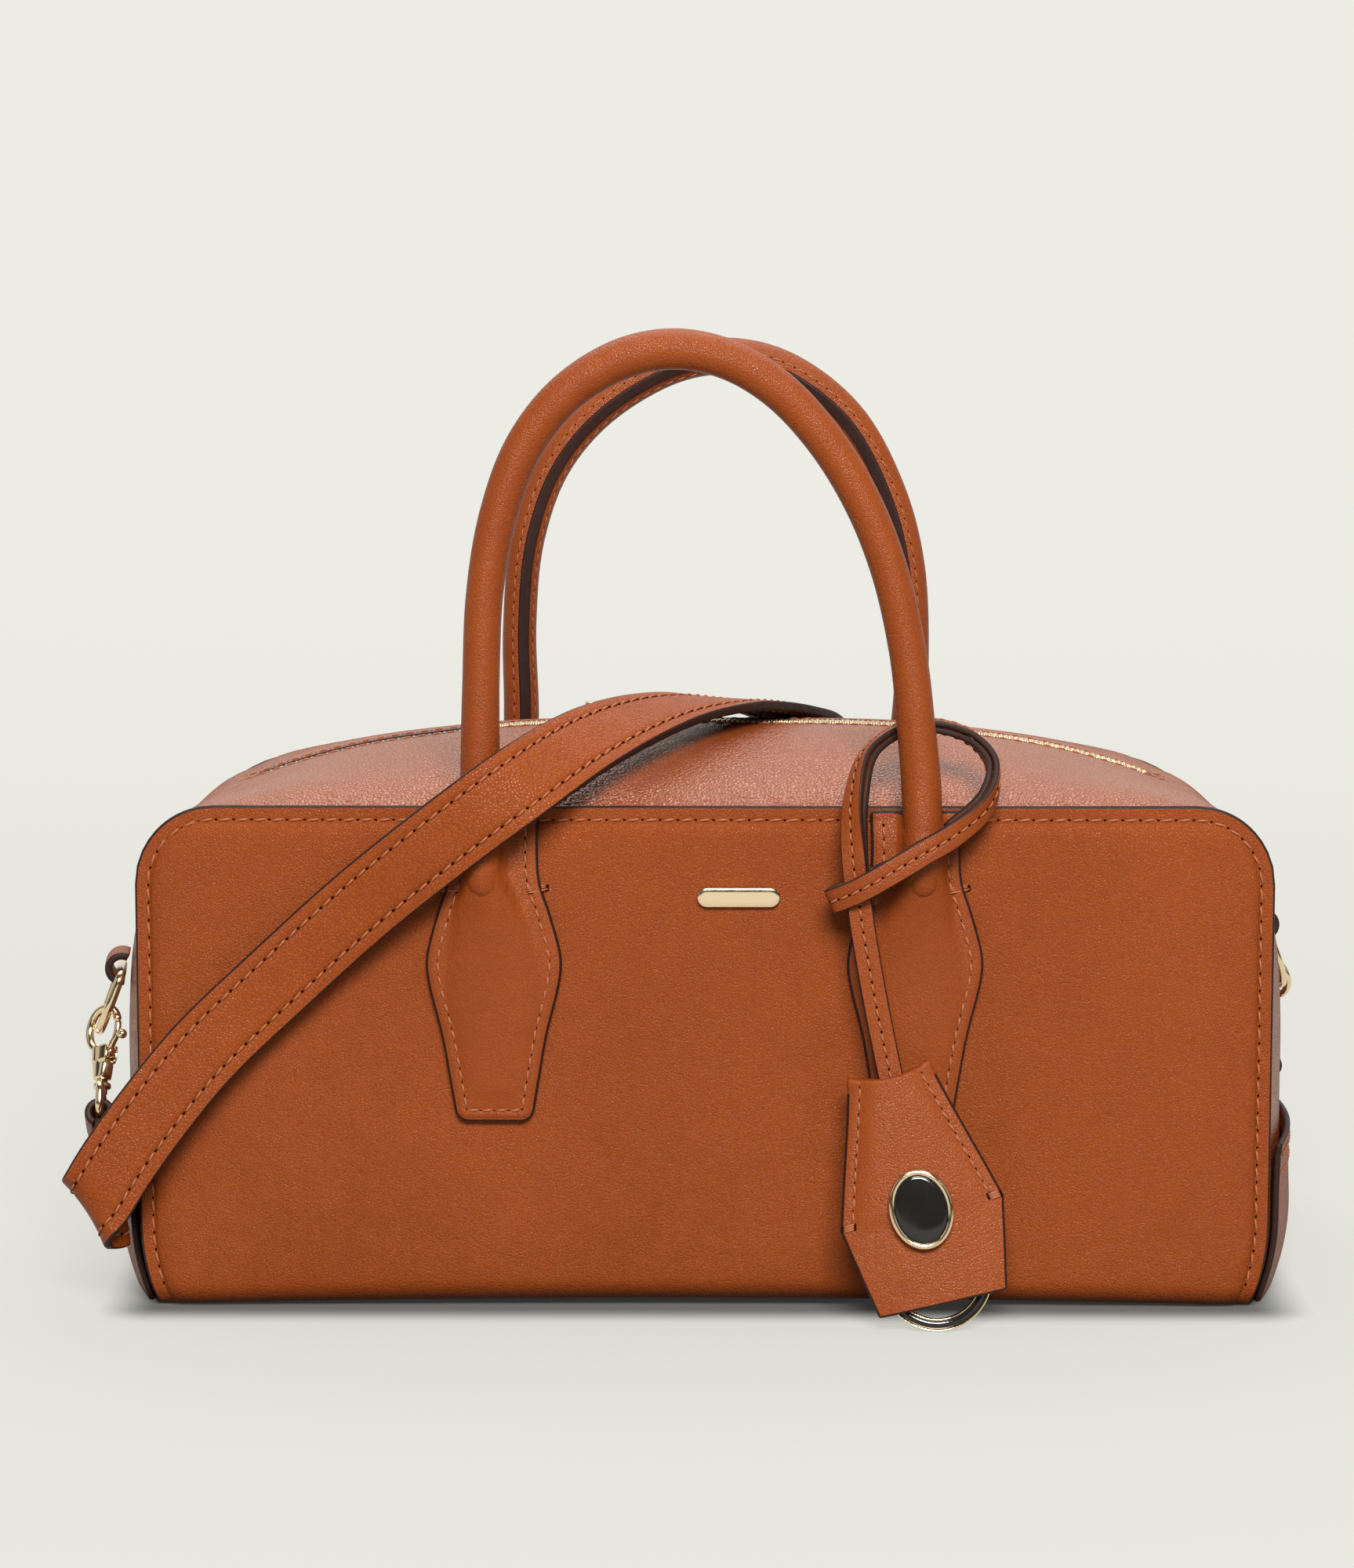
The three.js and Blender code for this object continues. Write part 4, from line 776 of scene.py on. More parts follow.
def stitch_shape(length, radius):
    """One stitch: a thread that rises out of its hole, lies on the leather and goes down again. Rings along
    it are circles that shrink at the ends, on a middle line that is a low arch."""
    u = np.linspace(-1, 1, STITCH_RINGS)
    swell = radius * np.sqrt(np.clip(1 - (0.9 * np.abs(u)) ** 3, 0.05, 1))
    rise = radius * (0.9 - 1.85 * np.abs(u) ** 3)
    angles = 2 * np.pi * np.arange(STITCH_SIDES) / STITCH_SIDES
    rings = np.stack([np.broadcast_to(u[:, None] * length / 2, (STITCH_RINGS, STITCH_SIDES)),
                      swell[:, None] * np.cos(angles) * 1.15,
                      rise[:, None] + swell[:, None] * np.sin(angles) * 0.85], axis=-1)
    return skin(rings)


def hole_shade_shape(radius):
    """Painted shade in a stitch hole: a flat dark hexagon that sits just proud of the leather and stands for
    the shadow inside the hole, with a short skirt below it.
    """
    angles = 2 * np.pi * np.arange(6) / 6
    rim_points = np.stack([radius * np.cos(angles), radius * 0.8 * np.sin(angles), np.full(6, 0.05)], axis=-1)
    skirt = rim_points * [1.1, 1.1, 0] - [0, 0, 0.35]
    top = np.arange(6)[None, :]
    faces = [top, grid_faces(2, 6, wrap_columns=True)[:, ::-1], 6 + top[:, ::-1]]
    return np.vstack([rim_points, skirt]), faces


def copies(shape, places, ahead, up):
    """Copies of one shape at many places: its three axes go along ahead, across and up."""
    points, faces = shape
    across = unit(np.cross(up, ahead))
    up = np.cross(ahead, across)
    axes = np.stack([ahead, across, up], axis=1)
    placed = places[:, None] + points @ axes
    offsets = np.arange(len(places)) * len(points)
    faces = [(kind[None] + offsets[:, None, None]).reshape(-1, kind.shape[1]) for kind in faces]
    return placed.reshape(-1, 3), faces


STITCH_SLANT = 0.12
# Width of the painted shade disc at each stitch hole against the thread's radius
HOLE_SHADE_SIZE = 1.5


def sewn(path, up, pitch, thread, fill=0.74):
    """A row of stitches along a path: one thread in each pitch, a little slanted, and a dark disc of painted
    shade in the hole between each two. Returns points, faces and a mark that is 1 on the painted shade discs."""
    lengths = along_path(path)
    count = max(int(round(lengths[-1] / pitch)), 1)
    pitch = lengths[-1] / count
    middles = (np.arange(count) + 0.5) * pitch
    place = at_lengths(lengths, path, middles)
    normal = unit(at_lengths(lengths, up, middles))
    reach = pitch * 0.4
    ahead = unit(at_lengths(lengths, path, middles + reach) - at_lengths(lengths, path, middles - reach))
    ahead = unit(ahead + STITCH_SLANT * np.cross(normal, ahead))
    threads = copies(stitch_shape(pitch * fill, thread), place, ahead, normal)
    ends = np.arange(count + 1) * pitch
    hole_up = unit(at_lengths(lengths, up, ends))
    hole_ahead = unit(at_lengths(lengths, tangents_of(path), ends))
    hole_shades = copies(hole_shade_shape(thread * HOLE_SHADE_SIZE), at_lengths(lengths, path, ends), hole_ahead, hole_up)
    return joined([(*threads, marks_of(threads, 0)), (*hole_shades, marks_of(hole_shades, 1))])


def merged(parts):
    """Several shapes as one list of points and faces, in the order given."""
    offsets = np.cumsum([0] + [len(part[0]) for part in parts[:-1]])
    faces = [kind + offset for part, offset in zip(parts, offsets) for kind in part[1]]
    return np.vstack([part[0] for part in parts]), faces


def marks_of(mesh, mark):
    """The same material mark for every face of a mesh."""
    return np.full(sum(len(kind) for kind in mesh[1]), mark)


def joined(parts):
    """Several marked meshes as one."""
    points, faces = merged(parts)
    return points, faces, np.concatenate([part[2] for part in parts])


def normals_along(surface, first, second, step=0.05):
    """Unit normals of a surface function of two arrays, from small steps in each."""
    a = surface(first + step, second) - surface(first - step, second)
    b = surface(first, second + step) - surface(first, second - step)
    return unit(np.cross(a, b))


def on_panel(x, z, side):
    """Points on a panel's outer face and the way out from them."""
    def surface(px, pz):
        return slump(np.stack([px, side * face_depth(px, pz), pz], axis=-1))
    up = normals_along(surface, x, z)
    return surface(x, z), up * np.sign(up[:, 1:2]) * side


# Handles

TAB_INSET = 2.7
TAB_GROOVE = 0.22
TAB_CORNER = 2.6
TAB_STITCH_TOP = 134.0
CORE_SHIFT = (84.0, 128.0)
ARCH_MIDDLE = 165.0


def tab_half(z):
    """Half the width of a tab at a height, with round lower corners."""
    up = np.clip(z - TAB_OUTLINE[0][0], 0, TAB_CORNER)
    round_in = np.sqrt(np.maximum(TAB_CORNER ** 2 - (TAB_CORNER - up) ** 2, 0))
    return smooth_table(TAB_OUTLINE, z) - TAB_CORNER + round_in


def tab_height(x, z, centre, route):
    """How far a tab stands out from the panel: its own thickness, a groove along the stitches, and a padded
    core across it, a parabola below that grows upwards into the half round of the rolled handle."""
    leg = np.asarray([row for row in route if row[0] * centre > 0 and row[1] < ARCH_MIDDLE], float)
    leg = leg[np.argsort(leg[:, 1])]
    shift = smooth_step(*CORE_SHIFT, z)
    middle = centre * (1 - shift) + np.interp(z, leg[:, 1], leg[:, 0]) * shift
    half = tab_half(z)
    inset = np.minimum(half - np.abs(x - centre), z - TAB_OUTLINE[0][0])
    reach = np.minimum(smooth_table(TAB_CORE, z, 2), half - TAB_INSET - 0.4 - np.abs(middle - centre))
    core = np.clip(1 - ((x - middle) / reach) ** 2, 0, 1) ** smooth_table(TAB_CORE, z, 3)
    core = core * smooth_table(TAB_CORE, z) * smooth_step(TAB_INSET, TAB_INSET + 7, z - TAB_OUTLINE[0][0])
    groove = TAB_GROOVE * np.exp(-((inset - TAB_INSET) / 0.6) ** 2)
    round_off = 0.5 * (1 - smooth_step(0, 1.4, inset))
    return TAB_THICK + core - groove - round_off


def tab_surface(x, z, side, centre, route):
    """A point of a tab's outer face: the panel's face plus the tab's height."""
    depth = face_depth(x, z) + GAP + tab_height(x, z, centre, route)
    return np.stack([x, side * depth, z], axis=-1)


def tab_mesh(side, centre, route):
    """One tab as a sheet, flat on the panel behind and padded in front."""
    low, high = TAB_OUTLINE[0][0], TAB_OUTLINE[-1][0]
    foot = low + np.array([0, 0.15, 0.4, 0.8, 1.3, 1.9, 2.5, 3.2, 4, 5])
    z = np.concatenate([foot, np.linspace(low + 6, high, 62)])
    edge = np.array([0, 0.02, 0.05, 0.09, 0.14, 0.19, 0.24, 0.3, 0.38, 0.47, 0.57, 0.68, 0.8, 0.9])
    share = np.concatenate([edge - 1, [0], 1 - edge[::-1]])
    z, share = np.meshgrid(z, share, indexing="ij")
    x = centre + share * tab_half(z)
    inner = np.stack([x, side * (face_depth(x, z) + GAP), z], axis=-1)
    return sheet(tab_surface(x, z, side, centre, route), inner)


def handle_path(route, side, steps=8):
    """Middle line and radii of a rolled handle: it lies on the panel below the top edge and in one plane
    above."""
    rows = np.asarray(route, float)
    x, z, radius = rows.T
    on_panel_depth = np.where(z < PANEL_HEIGHT, face_depth(x, z) + HANDLE_SEAT + radius, 0)
    y = side * np.maximum(HANDLE_PLANE, on_panel_depth)
    return curve_through(np.stack([x, y, z], axis=1), steps), between_rows(radius, steps)


ROLL_END = 118.0
SEAM_FROM = 126.0
SEAM_WIDTH = 3.4
SEAM_INWARDS = 0.3
SEAM_STITCH = 0.64


def handle_seam(points, radii, side):
    """Part of a handle above the tabs, with the way that its seam faces, towards the other handle and a
    little into the arch, and the way across the seam."""
    keep = points[:, 2] > SEAM_FROM
    points, radii = points[keep], radii[keep]
    ahead = tangents_of(points)
    inwards = unit((np.array([0, 0, ARCH_MIDDLE]) - points) * [1, 0, 1])
    facing = SEAM_INWARDS * inwards + np.array([0.0, -side, 0.0])
    facing = unit(facing - np.sum(facing * ahead, axis=1, keepdims=True) * ahead)
    return points, radii, facing, np.cross(ahead, facing)


def handle_strip(points, radii, side):
    """The painted edges of the rolled leather: a narrow band on the side towards the other handle."""
    points, radii, facing, across = handle_seam(points, radii, side)
    profile, _ = band_profile(SEAM_WIDTH, 1.5)
    return carried(profile, points + facing * (radii - 0.25)[:, None], across, facing)


# Side hardware


def turn_y(angle):
    """4 by 4 matrix of a turn about Y."""
    m = np.eye(4)
    m[0, 0] = m[2, 2] = math.cos(angle)
    m[0, 2], m[2, 0] = math.sin(angle), -math.sin(angle)
    return m


def turn_z(angle):
    """4 by 4 matrix of a turn about Z."""
    m = np.eye(4)
    m[0, 0] = m[1, 1] = math.cos(angle)
    m[0, 1], m[1, 0] = -math.sin(angle), math.sin(angle)
    return m


def move(x, y, z):
    """4 by 4 matrix of a move."""
    m = np.eye(4)
    m[:3, 3] = x, y, z
    return m


def placed(mesh, matrix):
    """A mesh with its points moved by a matrix."""
    return (mesh[0] @ matrix[:3, :3].T + matrix[:3, 3],) + tuple(mesh[1:])


def anchor_matrix(side):
    """Where the loop of one side stands; X points away from the bag."""
    place = RIGHT_ANCHOR if side > 0 else LEFT_ANCHOR
    return turn_z(0 if side > 0 else math.pi) @ move(*place) @ turn_z(ANCHOR_TURN)


RING_MATRIX = move(0, 0, -RING_DROP) @ turn_y(-RING_LEAN)


def hook_matrix(side):
    """The claw's own axes: p across, q along its length, n through it, seated on the ring's lower bend."""
    turn = HOOK_ON_RING
    bar = RING_MATRIX @ np.array([0, RING_HALF * math.sin(turn),
                                  RING_HALF - RING_HEIGHT - RING_HALF * math.cos(turn), 1])
    along = np.array([0, math.cos(turn), math.sin(turn)])
    down = np.asarray(HOOK_LEAN)
    down = unit(down - down @ along * along)
    outward = np.cross(down, along)
    p = outward * math.cos(HOOK_TWIST) - along * math.sin(HOOK_TWIST)
    frame_matrix = np.eye(4)
    frame_matrix[:3, 0] = p
    frame_matrix[:3, 1] = -down
    frame_matrix[:3, 2] = np.cross(p, -down)
    frame_matrix[:3, 3] = bar[:3] - p * HOOK_SEAT[0] + down * HOOK_SEAT[1]
    return anchor_matrix(side) @ frame_matrix


def arc(centre, radius, start, stop, count):
    """Places on a circle's arc in a plane."""
    angles = np.linspace(start, stop, count)
    return np.stack([centre[0] + radius * np.cos(angles), centre[1] + radius * np.sin(angles)], axis=1)


def ring_mesh():
    """D-ring in the YZ plane: a straight bar at the top, two small corners and a half circle below."""
    inner = RING_HALF - RING_CORNER
    bend = RING_HALF - RING_HEIGHT
    flat = np.vstack([
        np.stack([np.linspace(-inner, inner, 9)[:-1], np.zeros(8)], axis=1),
        arc((inner, -RING_CORNER), RING_CORNER, np.pi / 2, 0, 9)[:-1],
        np.stack([np.full(3, RING_HALF), np.linspace(-RING_CORNER, bend, 4)[:-1]], axis=1),
        arc((0, bend), RING_HALF, 0, -np.pi, 33)[:-1],
        np.stack([np.full(3, -RING_HALF), np.linspace(bend, -RING_CORNER, 4)[:-1]], axis=1),
        arc((-inner, -RING_CORNER), RING_CORNER, np.pi, np.pi / 2, 9)[:-1],
    ])
    points = np.column_stack([np.zeros(len(flat)), flat])
    return tube(points, RING_WIRE, (1, 0, 0), 18, closed=True)


def loop_mesh():
    """Leather folded round the ring's bar: a band along a circle's arc."""
    angles = np.linspace(*LOOP_ARC, 30)
    out = np.stack([np.cos(angles), np.zeros(30), np.sin(angles)], axis=1)
    profile, marks = band_profile(LOOP_WIDTH, LEATHER)
    across = np.broadcast_to([0.0, 1.0, 0.0], out.shape)
    points, faces = carried(profile, LOOP_RADIUS * out, across, out)
    return points, faces, band_marks(marks, len(out))


def slab(lows, highs, q, thick, middle=0.0, power=3.0):
    """A plate with round edges along q: superellipses across it, from the low to the high side."""
    angles = 2 * np.pi * np.arange(24) / 24
    c, s = np.cos(angles), np.sin(angles)
    round_c = np.sign(c) * np.abs(c) ** (2 / power)
    round_s = np.sign(s) * np.abs(s) ** (2 / power)
    lows, highs, q = (np.asarray(v, float) for v in (lows, highs, q))
    half = (highs - lows) / 2
    profile = np.stack([half[:, None] * round_c, np.broadcast_to(round_s * thick / 2, (len(q), 24))], axis=-1)
    centres = np.stack([(lows + highs) / 2, q, np.full(len(q), middle)], axis=1)
    sides = np.broadcast_to([1.0, 0, 0], centres.shape)
    normals = np.broadcast_to([0, 0, 1.0], centres.shape)
    return carried(profile, centres, sides, normals)


def claw_path(start, stop, count):
    """Part of the claw's circle in its own plane."""
    return np.column_stack([arc((0, 0), HOOK_CLAW, start, stop, count), np.zeros(count)])


# Plates of the hook's body: low sides, high sides and places along it; then radius and place of its neck
HOOK_HEEL = ((-0.5, -0.6, -0.6, -0.5), (2.6, 3.1, 3.1, 2.8), (-4.9, -5.4, -9, -9.9))
HOOK_LOWER = ((-2.6, -3.2, -3.1, -2.5, -2.0), (2.5, 3, 2.9, 2.5, 2.0), (-9.3, -9.8, -11.2, -13.8, -14.6))
HOOK_CHEEK = ((-3.4, -4, -3.9, -3.2), (0, 0.4, 0.4, 0), (-5.2, -5.7, -8.8, -10.2))
HOOK_THICK = 4.4
CHEEK_THICK = 0.8
CHEEK_MIDDLE = 1.8
HOOK_NECK = ((1.5, -13.6), (1.5, -15.6), (2.3, -15.8), (2.5, -16.1), (2.5, -16.9), (2.3, -17.2), (1.5, -17.4),
             (1.5, -18.8))
BAIL_CORNER = 2.5


def hook_mesh(has_gate):
    """Spring hook: round claw, a tapered body that is forked for the gate, a turned neck and the flat
    bail."""
    path, radii = rounded_ends(claw_path(CLAW_TIP if has_gate else GATE_ARC[0], -np.pi / 2, 34), HOOK_WIRE)
    claw = tube(path, radii, (0, 0, 1), 16)
    heel = slab(*HOOK_HEEL, HOOK_THICK)
    lower = slab(*HOOK_LOWER, HOOK_THICK)
    neck = skin(turned(HOOK_NECK, 20)[:, :, [0, 2, 1]])
    low, high, half = BAIL_BAR + BAIL_CORNER, BAIL_TOP - BAIL_CORNER, BAIL_HALF - BAIL_CORNER
    corners = ((-half, low, np.pi), (half, low, 1.5 * np.pi), (half, high, 0), (-half, high, np.pi / 2))
    flat = np.vstack([arc((x, y), BAIL_CORNER, start, start + np.pi / 2, 6) for x, y, start in corners])
    bail = tube(np.column_stack([flat, np.zeros(len(flat))]), BAIL_WIRE, (0, 0, 1), 14, closed=True)
    bail = placed(bail, turn_y(HOOK_TWIST - np.pi / 2))
    if has_gate:
        cheeks = [slab(*HOOK_CHEEK, CHEEK_THICK, way * CHEEK_MIDDLE) for way in (-1, 1)]
    else:
        cheeks = [slab(*HOOK_CHEEK, HOOK_THICK)]
    return merged([claw, heel, lower, neck, bail] + cheeks)


def ball(radius, centre, sides=16):
    """A ball as a half circle turned about its own Z."""
    turn = np.linspace(-0.49, 0.49, 10) * np.pi
    rings = turned(np.stack([radius * np.cos(turn), radius * np.sin(turn)], axis=1), sides)
    return skin(rings + np.asarray(centre, float))


def gate_mesh():
    """The gate: a round lever from its pivot up to the claw's tip, a boss, and a thumb knob on a stem."""
    pivot = np.array([[GATE_PIVOT[0], GATE_PIVOT[1], 0.0]])
    path, radii = rounded_ends(np.vstack([pivot, claw_path(*GATE_ARC, 16)]), 0.95)
    lever = tube(path, radii, (0, 0, 1), 14)
    edge = np.array([[1.2, -1.1], [1.6, -1.0], [1.75, -0.8], [1.75, 0.8], [1.6, 1.0], [1.2, 1.1]])
    boss = placed(skin(turned(edge, 24)), move(*GATE_PIVOT, 0))
    angle, out, radius = GATE_KNOB
    toward = np.array([math.cos(angle), math.sin(angle), 0])
    stem = tube(np.linspace(HOOK_CLAW, out, 4)[:, None] * toward, 0.85, (0, 0, 1), 12)
    return merged([lever, boss, stem, ball(radius, out * toward)])


# Strap


def strap_end(side):
    """The middle of a bail's bar, the bar's direction and the way the hook points."""
    m = hook_matrix(side)
    turn = HOOK_TWIST - np.pi / 2
    bar = (m @ np.array([0, BAIL_BAR, 0, 1]))[:3]
    return bar, m[:3, :3] @ np.array([math.cos(turn), 0, -math.sin(turn)]), -m[:3, 1]


def strap_rows():
    """The strap's whole route from bail to bail, and the direction across it at each row."""
    rows = np.asarray(STRAP_ROUTE, float)
    starts = []
    for side, near in ((-1, rows[0]), (1, rows[-1])):
        bar, along, down = strap_end(side)
        along = along * np.sign(along @ near[3:])
        starts.append(np.concatenate([bar + down * STRAP_START, along]))
    rows = np.vstack([starts[0], rows, starts[1]])
    return rows[:, :3], rows[:, 3:]


# Inset of the strap's stitches, their groove, how deep they sink, and the fold of its ends round a bail
STRAP_INSET = 3.9
STRAP_GROOVE = 0.5
STRAP_SINK = 0.22
FOLD_ARC = (28, 332)
FOLD_THICK = 2.1
FOLD_RADIUS = 3.15


def strap_fold(side):
    """The strap's end folded round the bail's bar: a band along most of a circle."""
    bar, along, down = strap_end(side)
    across = np.cross(along, down)
    angles = np.radians(np.linspace(*FOLD_ARC, 40))
    out = np.cos(angles)[:, None] * down + np.sin(angles)[:, None] * across
    profile, marks = band_profile(STRAP_WIDTH, FOLD_THICK)
    points, faces = carried(profile, bar + out * FOLD_RADIUS, np.broadcast_to(along, out.shape), out)
    return points, faces, band_marks(marks, len(out))


# Charm

CHARM_TOP = np.asarray(BELL_TOP)
CHARM_DOWN = unit(np.asarray(BELL_BOTTOM) - CHARM_TOP)
CHARM_ACROSS = unit(np.array([-CHARM_DOWN[2], 0, CHARM_DOWN[0]]))
CHARM_FRONT = np.cross(CHARM_ACROSS, -CHARM_DOWN)
CHARM_MATRIX = np.eye(4)
CHARM_MATRIX[:3, 0] = CHARM_ACROSS
CHARM_MATRIX[:3, 1] = -CHARM_DOWN
CHARM_MATRIX[:3, 2] = CHARM_FRONT
CHARM_MATRIX[:3, 3] = CHARM_TOP
BELL_INSET = 2.7
BELL_TACK = 37.4
BELL_SEWN = (1.2, 36.6)


def bell_half(down):
    """Half the bell's width at a length down it."""
    table = np.asarray(BELL_OUTLINE, float)
    return np.interp(down, table[:, 0], table[:, 1])


def bell_surface(down, share, side, lift):
    """A point of a bell leaf: across by its share of the half width, and out by a parabola that is closed at
    the sewn sides. The top corners stand up a little."""
    half = bell_half(down)
    edge, spread = smooth_table(BELL_OUTLINE, down, 2), smooth_table(BELL_OUTLINE, down, 3)
    inset = half * (1 - np.abs(share))
    sewn_part = 1 - smooth_step(34, 40, down)
    groove = 0.3 * sewn_part * np.exp(-((inset - BELL_INSET) / 0.7) ** 2) * (lift > 0)
    puff = 0.5 * sewn_part * smooth_step(BELL_INSET, BELL_INSET + 4, inset) * (lift > 0)
    curl = 0.7 * np.exp(-(down / 2.2) ** 2) * (lift > 0)
    out = edge + spread * (1 - share ** 2) + lift - groove + puff - 0.5 + curl * share ** 2
    lower = down - 2.2 * (share ** 2 - 0.6) * np.exp(-down / 5)
    flat = np.stack([share * half, -lower, side * out], axis=-1)
    return flat @ CHARM_MATRIX[:3, :3].T + CHARM_MATRIX[:3, 3]


def bell_mesh(side):
    """One leaf of the bell. Its top edge is turned leather; the other edges are painted."""
    total = BELL_OUTLINE[-1][0]
    down = np.concatenate([[0, 0.3, 0.7, 1.3, 2, 3, 4.5], np.linspace(6, 37.9, 24),
                           np.linspace(38.6, total - 1, 16), [total - 0.5, total - 0.2, total]])
    edge = np.array([0, 0.015, 0.035, 0.06, 0.09, 0.12, 0.15, 0.18, 0.22, 0.28, 0.36, 0.46, 0.58, 0.7, 0.85])
    share = np.concatenate([edge - 1, [0], 1 - edge[::-1]])
    down, share = np.meshgrid(down, share, indexing="ij")
    outer, inner = (bell_surface(down, share, side, lift) for lift in (BELL_LEATHER, 0.0))
    points, faces, marks = sheet(outer, inner)
    depth = (points - CHARM_TOP) @ CHARM_DOWN
    marks = marks * (depth[faces[0]].mean(axis=1) > 2.2)
    return points, faces, marks


def plate(outline, profile):
    """A plate drawn as rings: each row of the profile (inset, height) shrinks the outline by the inset, along
    the outline's own normals."""
    ahead = tangents_of(outline, closed=True)
    inward = np.stack([-ahead[:, 1], ahead[:, 0]], axis=1)
    rings = np.stack([np.column_stack([outline + inward * inset, np.full(len(outline), height)])
                      for inset, height in profile])
    return skin(rings)


def oval(half_width, half_height, count=72):
    """Places on an ellipse, anticlockwise."""
    angles = 2 * np.pi * np.arange(count) / count
    return np.stack([half_width * np.cos(angles), half_height * np.sin(angles)], axis=1)


def pill(length, height, count=16):
    """Places on a bar with half-round ends, anticlockwise."""
    run = (length - height) / 2
    right = arc((run, 0), height / 2, -np.pi / 2, np.pi / 2, count)
    left = arc((-run, 0), height / 2, np.pi / 2, 1.5 * np.pi, count)
    return np.vstack([right, left])


# Materials


def node_group(name, inputs, outputs):
    """An empty shader node group with named sockets: (name, socket type, default) each."""
    group = bpy.data.node_groups.new(name, "ShaderNodeTree")
    for label, kind, default in inputs:
        group.interface.new_socket(label, in_out="INPUT", socket_type=kind).default_value = default
    for label, kind in outputs:
        group.interface.new_socket(label, in_out="OUTPUT", socket_type=kind)
    return group, group.nodes.new("NodeGroupInput"), group.nodes.new("NodeGroupOutput")


def add_node(tree, kind, settings=None, **sockets):
    """A node with its properties set, and its sockets set to values or joined to other nodes' outputs."""
    node = tree.nodes.new(kind)
    for key, value in (settings or {}).items():
        setattr(node, key, value)
    for key, value in sockets.items():
        socket = node.inputs[int(key[1:]) if key[0] == "i" and key[1:].isdigit() else key.replace("_", " ")]
        if isinstance(value, bpy.types.NodeSocket):
            tree.links.new(value, socket)
        else:
            socket.default_value = value
    return node


def math_node(tree, operation, a, b=0.0):
    """A math node's output."""
    return add_node(tree, "ShaderNodeMath", {"operation": operation}, i0=a, i1=b).outputs[0]


def blend_colours(tree, factor, a, b, kind="MIX"):
    """A mixed colour."""
    node = add_node(tree, "ShaderNodeMix", {"data_type": "RGBA", "blend_type": kind}, i0=factor, i6=a, i7=b)
    return node.outputs[2]


def remap(tree, value, low, high, to_low=0.0, to_high=1.0):
    """A value moved smoothly from one range to another."""
    node = add_node(tree, "ShaderNodeMapRange", {"interpolation_type": "SMOOTHSTEP"}, i0=value, i1=low,
                    i2=high, i3=to_low, i4=to_high)
    return node.outputs[0]


def vector_node(tree, operation, a, b=(0, 0, 0)):
    """A vector math node."""
    return add_node(tree, "ShaderNodeVectorMath", {"operation": operation}, i0=a, i1=b)


def grain_group():
    """Pebbled leather: domed cells with creases between them, on finer and broader noise. Size is one cell's
    width in metres; puts out the height, a mask of the creases and a shade for each cell."""
    group, given, put = node_group(
        "Leather grain", [("Size", "NodeSocketFloat", 0.0008)],
        [("Height", "NodeSocketFloat"), ("Crease", "NodeSocketFloat"), ("Shade", "NodeSocketFloat")])
    place = add_node(group, "ShaderNodeTexCoord").outputs["Object"]
    scale = math_node(group, "DIVIDE", 1.0, given.outputs["Size"])
    bend = add_node(group, "ShaderNodeTexNoise", Vector=place, Scale=900.0, Detail=1.0)
    shift = add_node(group, "ShaderNodeVectorMath", {"operation": "MULTIPLY_ADD"}, i0=bend.outputs["Color"],
                     i1=(0.0007, 0.0007, 0.0007), i2=place).outputs[0]
    edges = add_node(group, "ShaderNodeTexVoronoi", {"feature": "DISTANCE_TO_EDGE"}, Vector=shift,
                     Scale=scale)
    cells = add_node(group, "ShaderNodeTexVoronoi", Vector=shift, Scale=scale)
    fine = add_node(group, "ShaderNodeTexNoise", Vector=place, Scale=3400.0, Detail=2.0)
    broad = add_node(group, "ShaderNodeTexNoise", Vector=place, Scale=460.0, Detail=2.0)
    pebble = remap(group, edges.outputs["Distance"], 0.0, 0.2)
    shade = add_node(group, "ShaderNodeSeparateColor", Color=cells.outputs["Color"]).outputs[0]
    dome = math_node(group, "MULTIPLY", cells.outputs["Distance"], cells.outputs["Distance"])
    height = math_node(group, "MULTIPLY", dome, -0.8)
    parts = (pebble, fine.outputs["Fac"], broad.outputs["Fac"], shade)
    for part, weight in zip(parts, (0.35, 0.12, 0.6, 0.2)):
        height = math_node(group, "ADD", height, math_node(group, "MULTIPLY", part, weight))
    group.links.new(height, put.inputs["Height"])
    group.links.new(math_node(group, "SUBTRACT", 1.0, pebble), put.inputs["Crease"])
    group.links.new(shade, put.inputs["Shade"])
    return group


def dye_group():
    """Uneven dye: wide soft clouds and smaller mottling between two colours."""
    group, given, put = node_group(
        "Leather dye",
        [("Tan", "NodeSocketColor", (0.3, 0.08, 0.02, 1)), ("Deep", "NodeSocketColor", (0.2, 0.05, 0.01, 1))],
        [("Color", "NodeSocketColor"), ("Cloud", "NodeSocketFloat")])
    place = add_node(group, "ShaderNodeTexCoord").outputs["Object"]
    wide = add_node(group, "ShaderNodeTexNoise", Vector=place, Scale=14.0, Detail=3.0)
    small = add_node(group, "ShaderNodeTexNoise", Vector=place, Scale=160.0, Detail=3.0)
    cloud = math_node(group, "ADD", math_node(group, "MULTIPLY", wide.outputs["Fac"], 0.65),
                      math_node(group, "MULTIPLY", small.outputs["Fac"], 0.35))
    cloud = remap(group, cloud, 0.32, 0.68)
    colour = blend_colours(group, cloud, given.outputs["Deep"], given.outputs["Tan"])
    group.links.new(colour, put.inputs["Color"])
    group.links.new(cloud, put.inputs["Cloud"])
    return group


def use_group(tree, group, **sockets):
    """A placed node group with its inputs set."""
    node = add_node(tree, "ShaderNodeGroup", {"node_tree": group})
    for key, value in sockets.items():
        node.inputs[key].default_value = value
    return node


def blank_material(name):
    """A material with only its Principled shader, and its tree."""
    material = bpy.data.materials.new(name)
    material.use_nodes = True
    return material, material.node_tree, material.node_tree.nodes["Principled BSDF"]


def join(tree, output, shader, socket):
    """Joins a node's output to a socket of the shader."""
    tree.links.new(output, shader.inputs[socket])


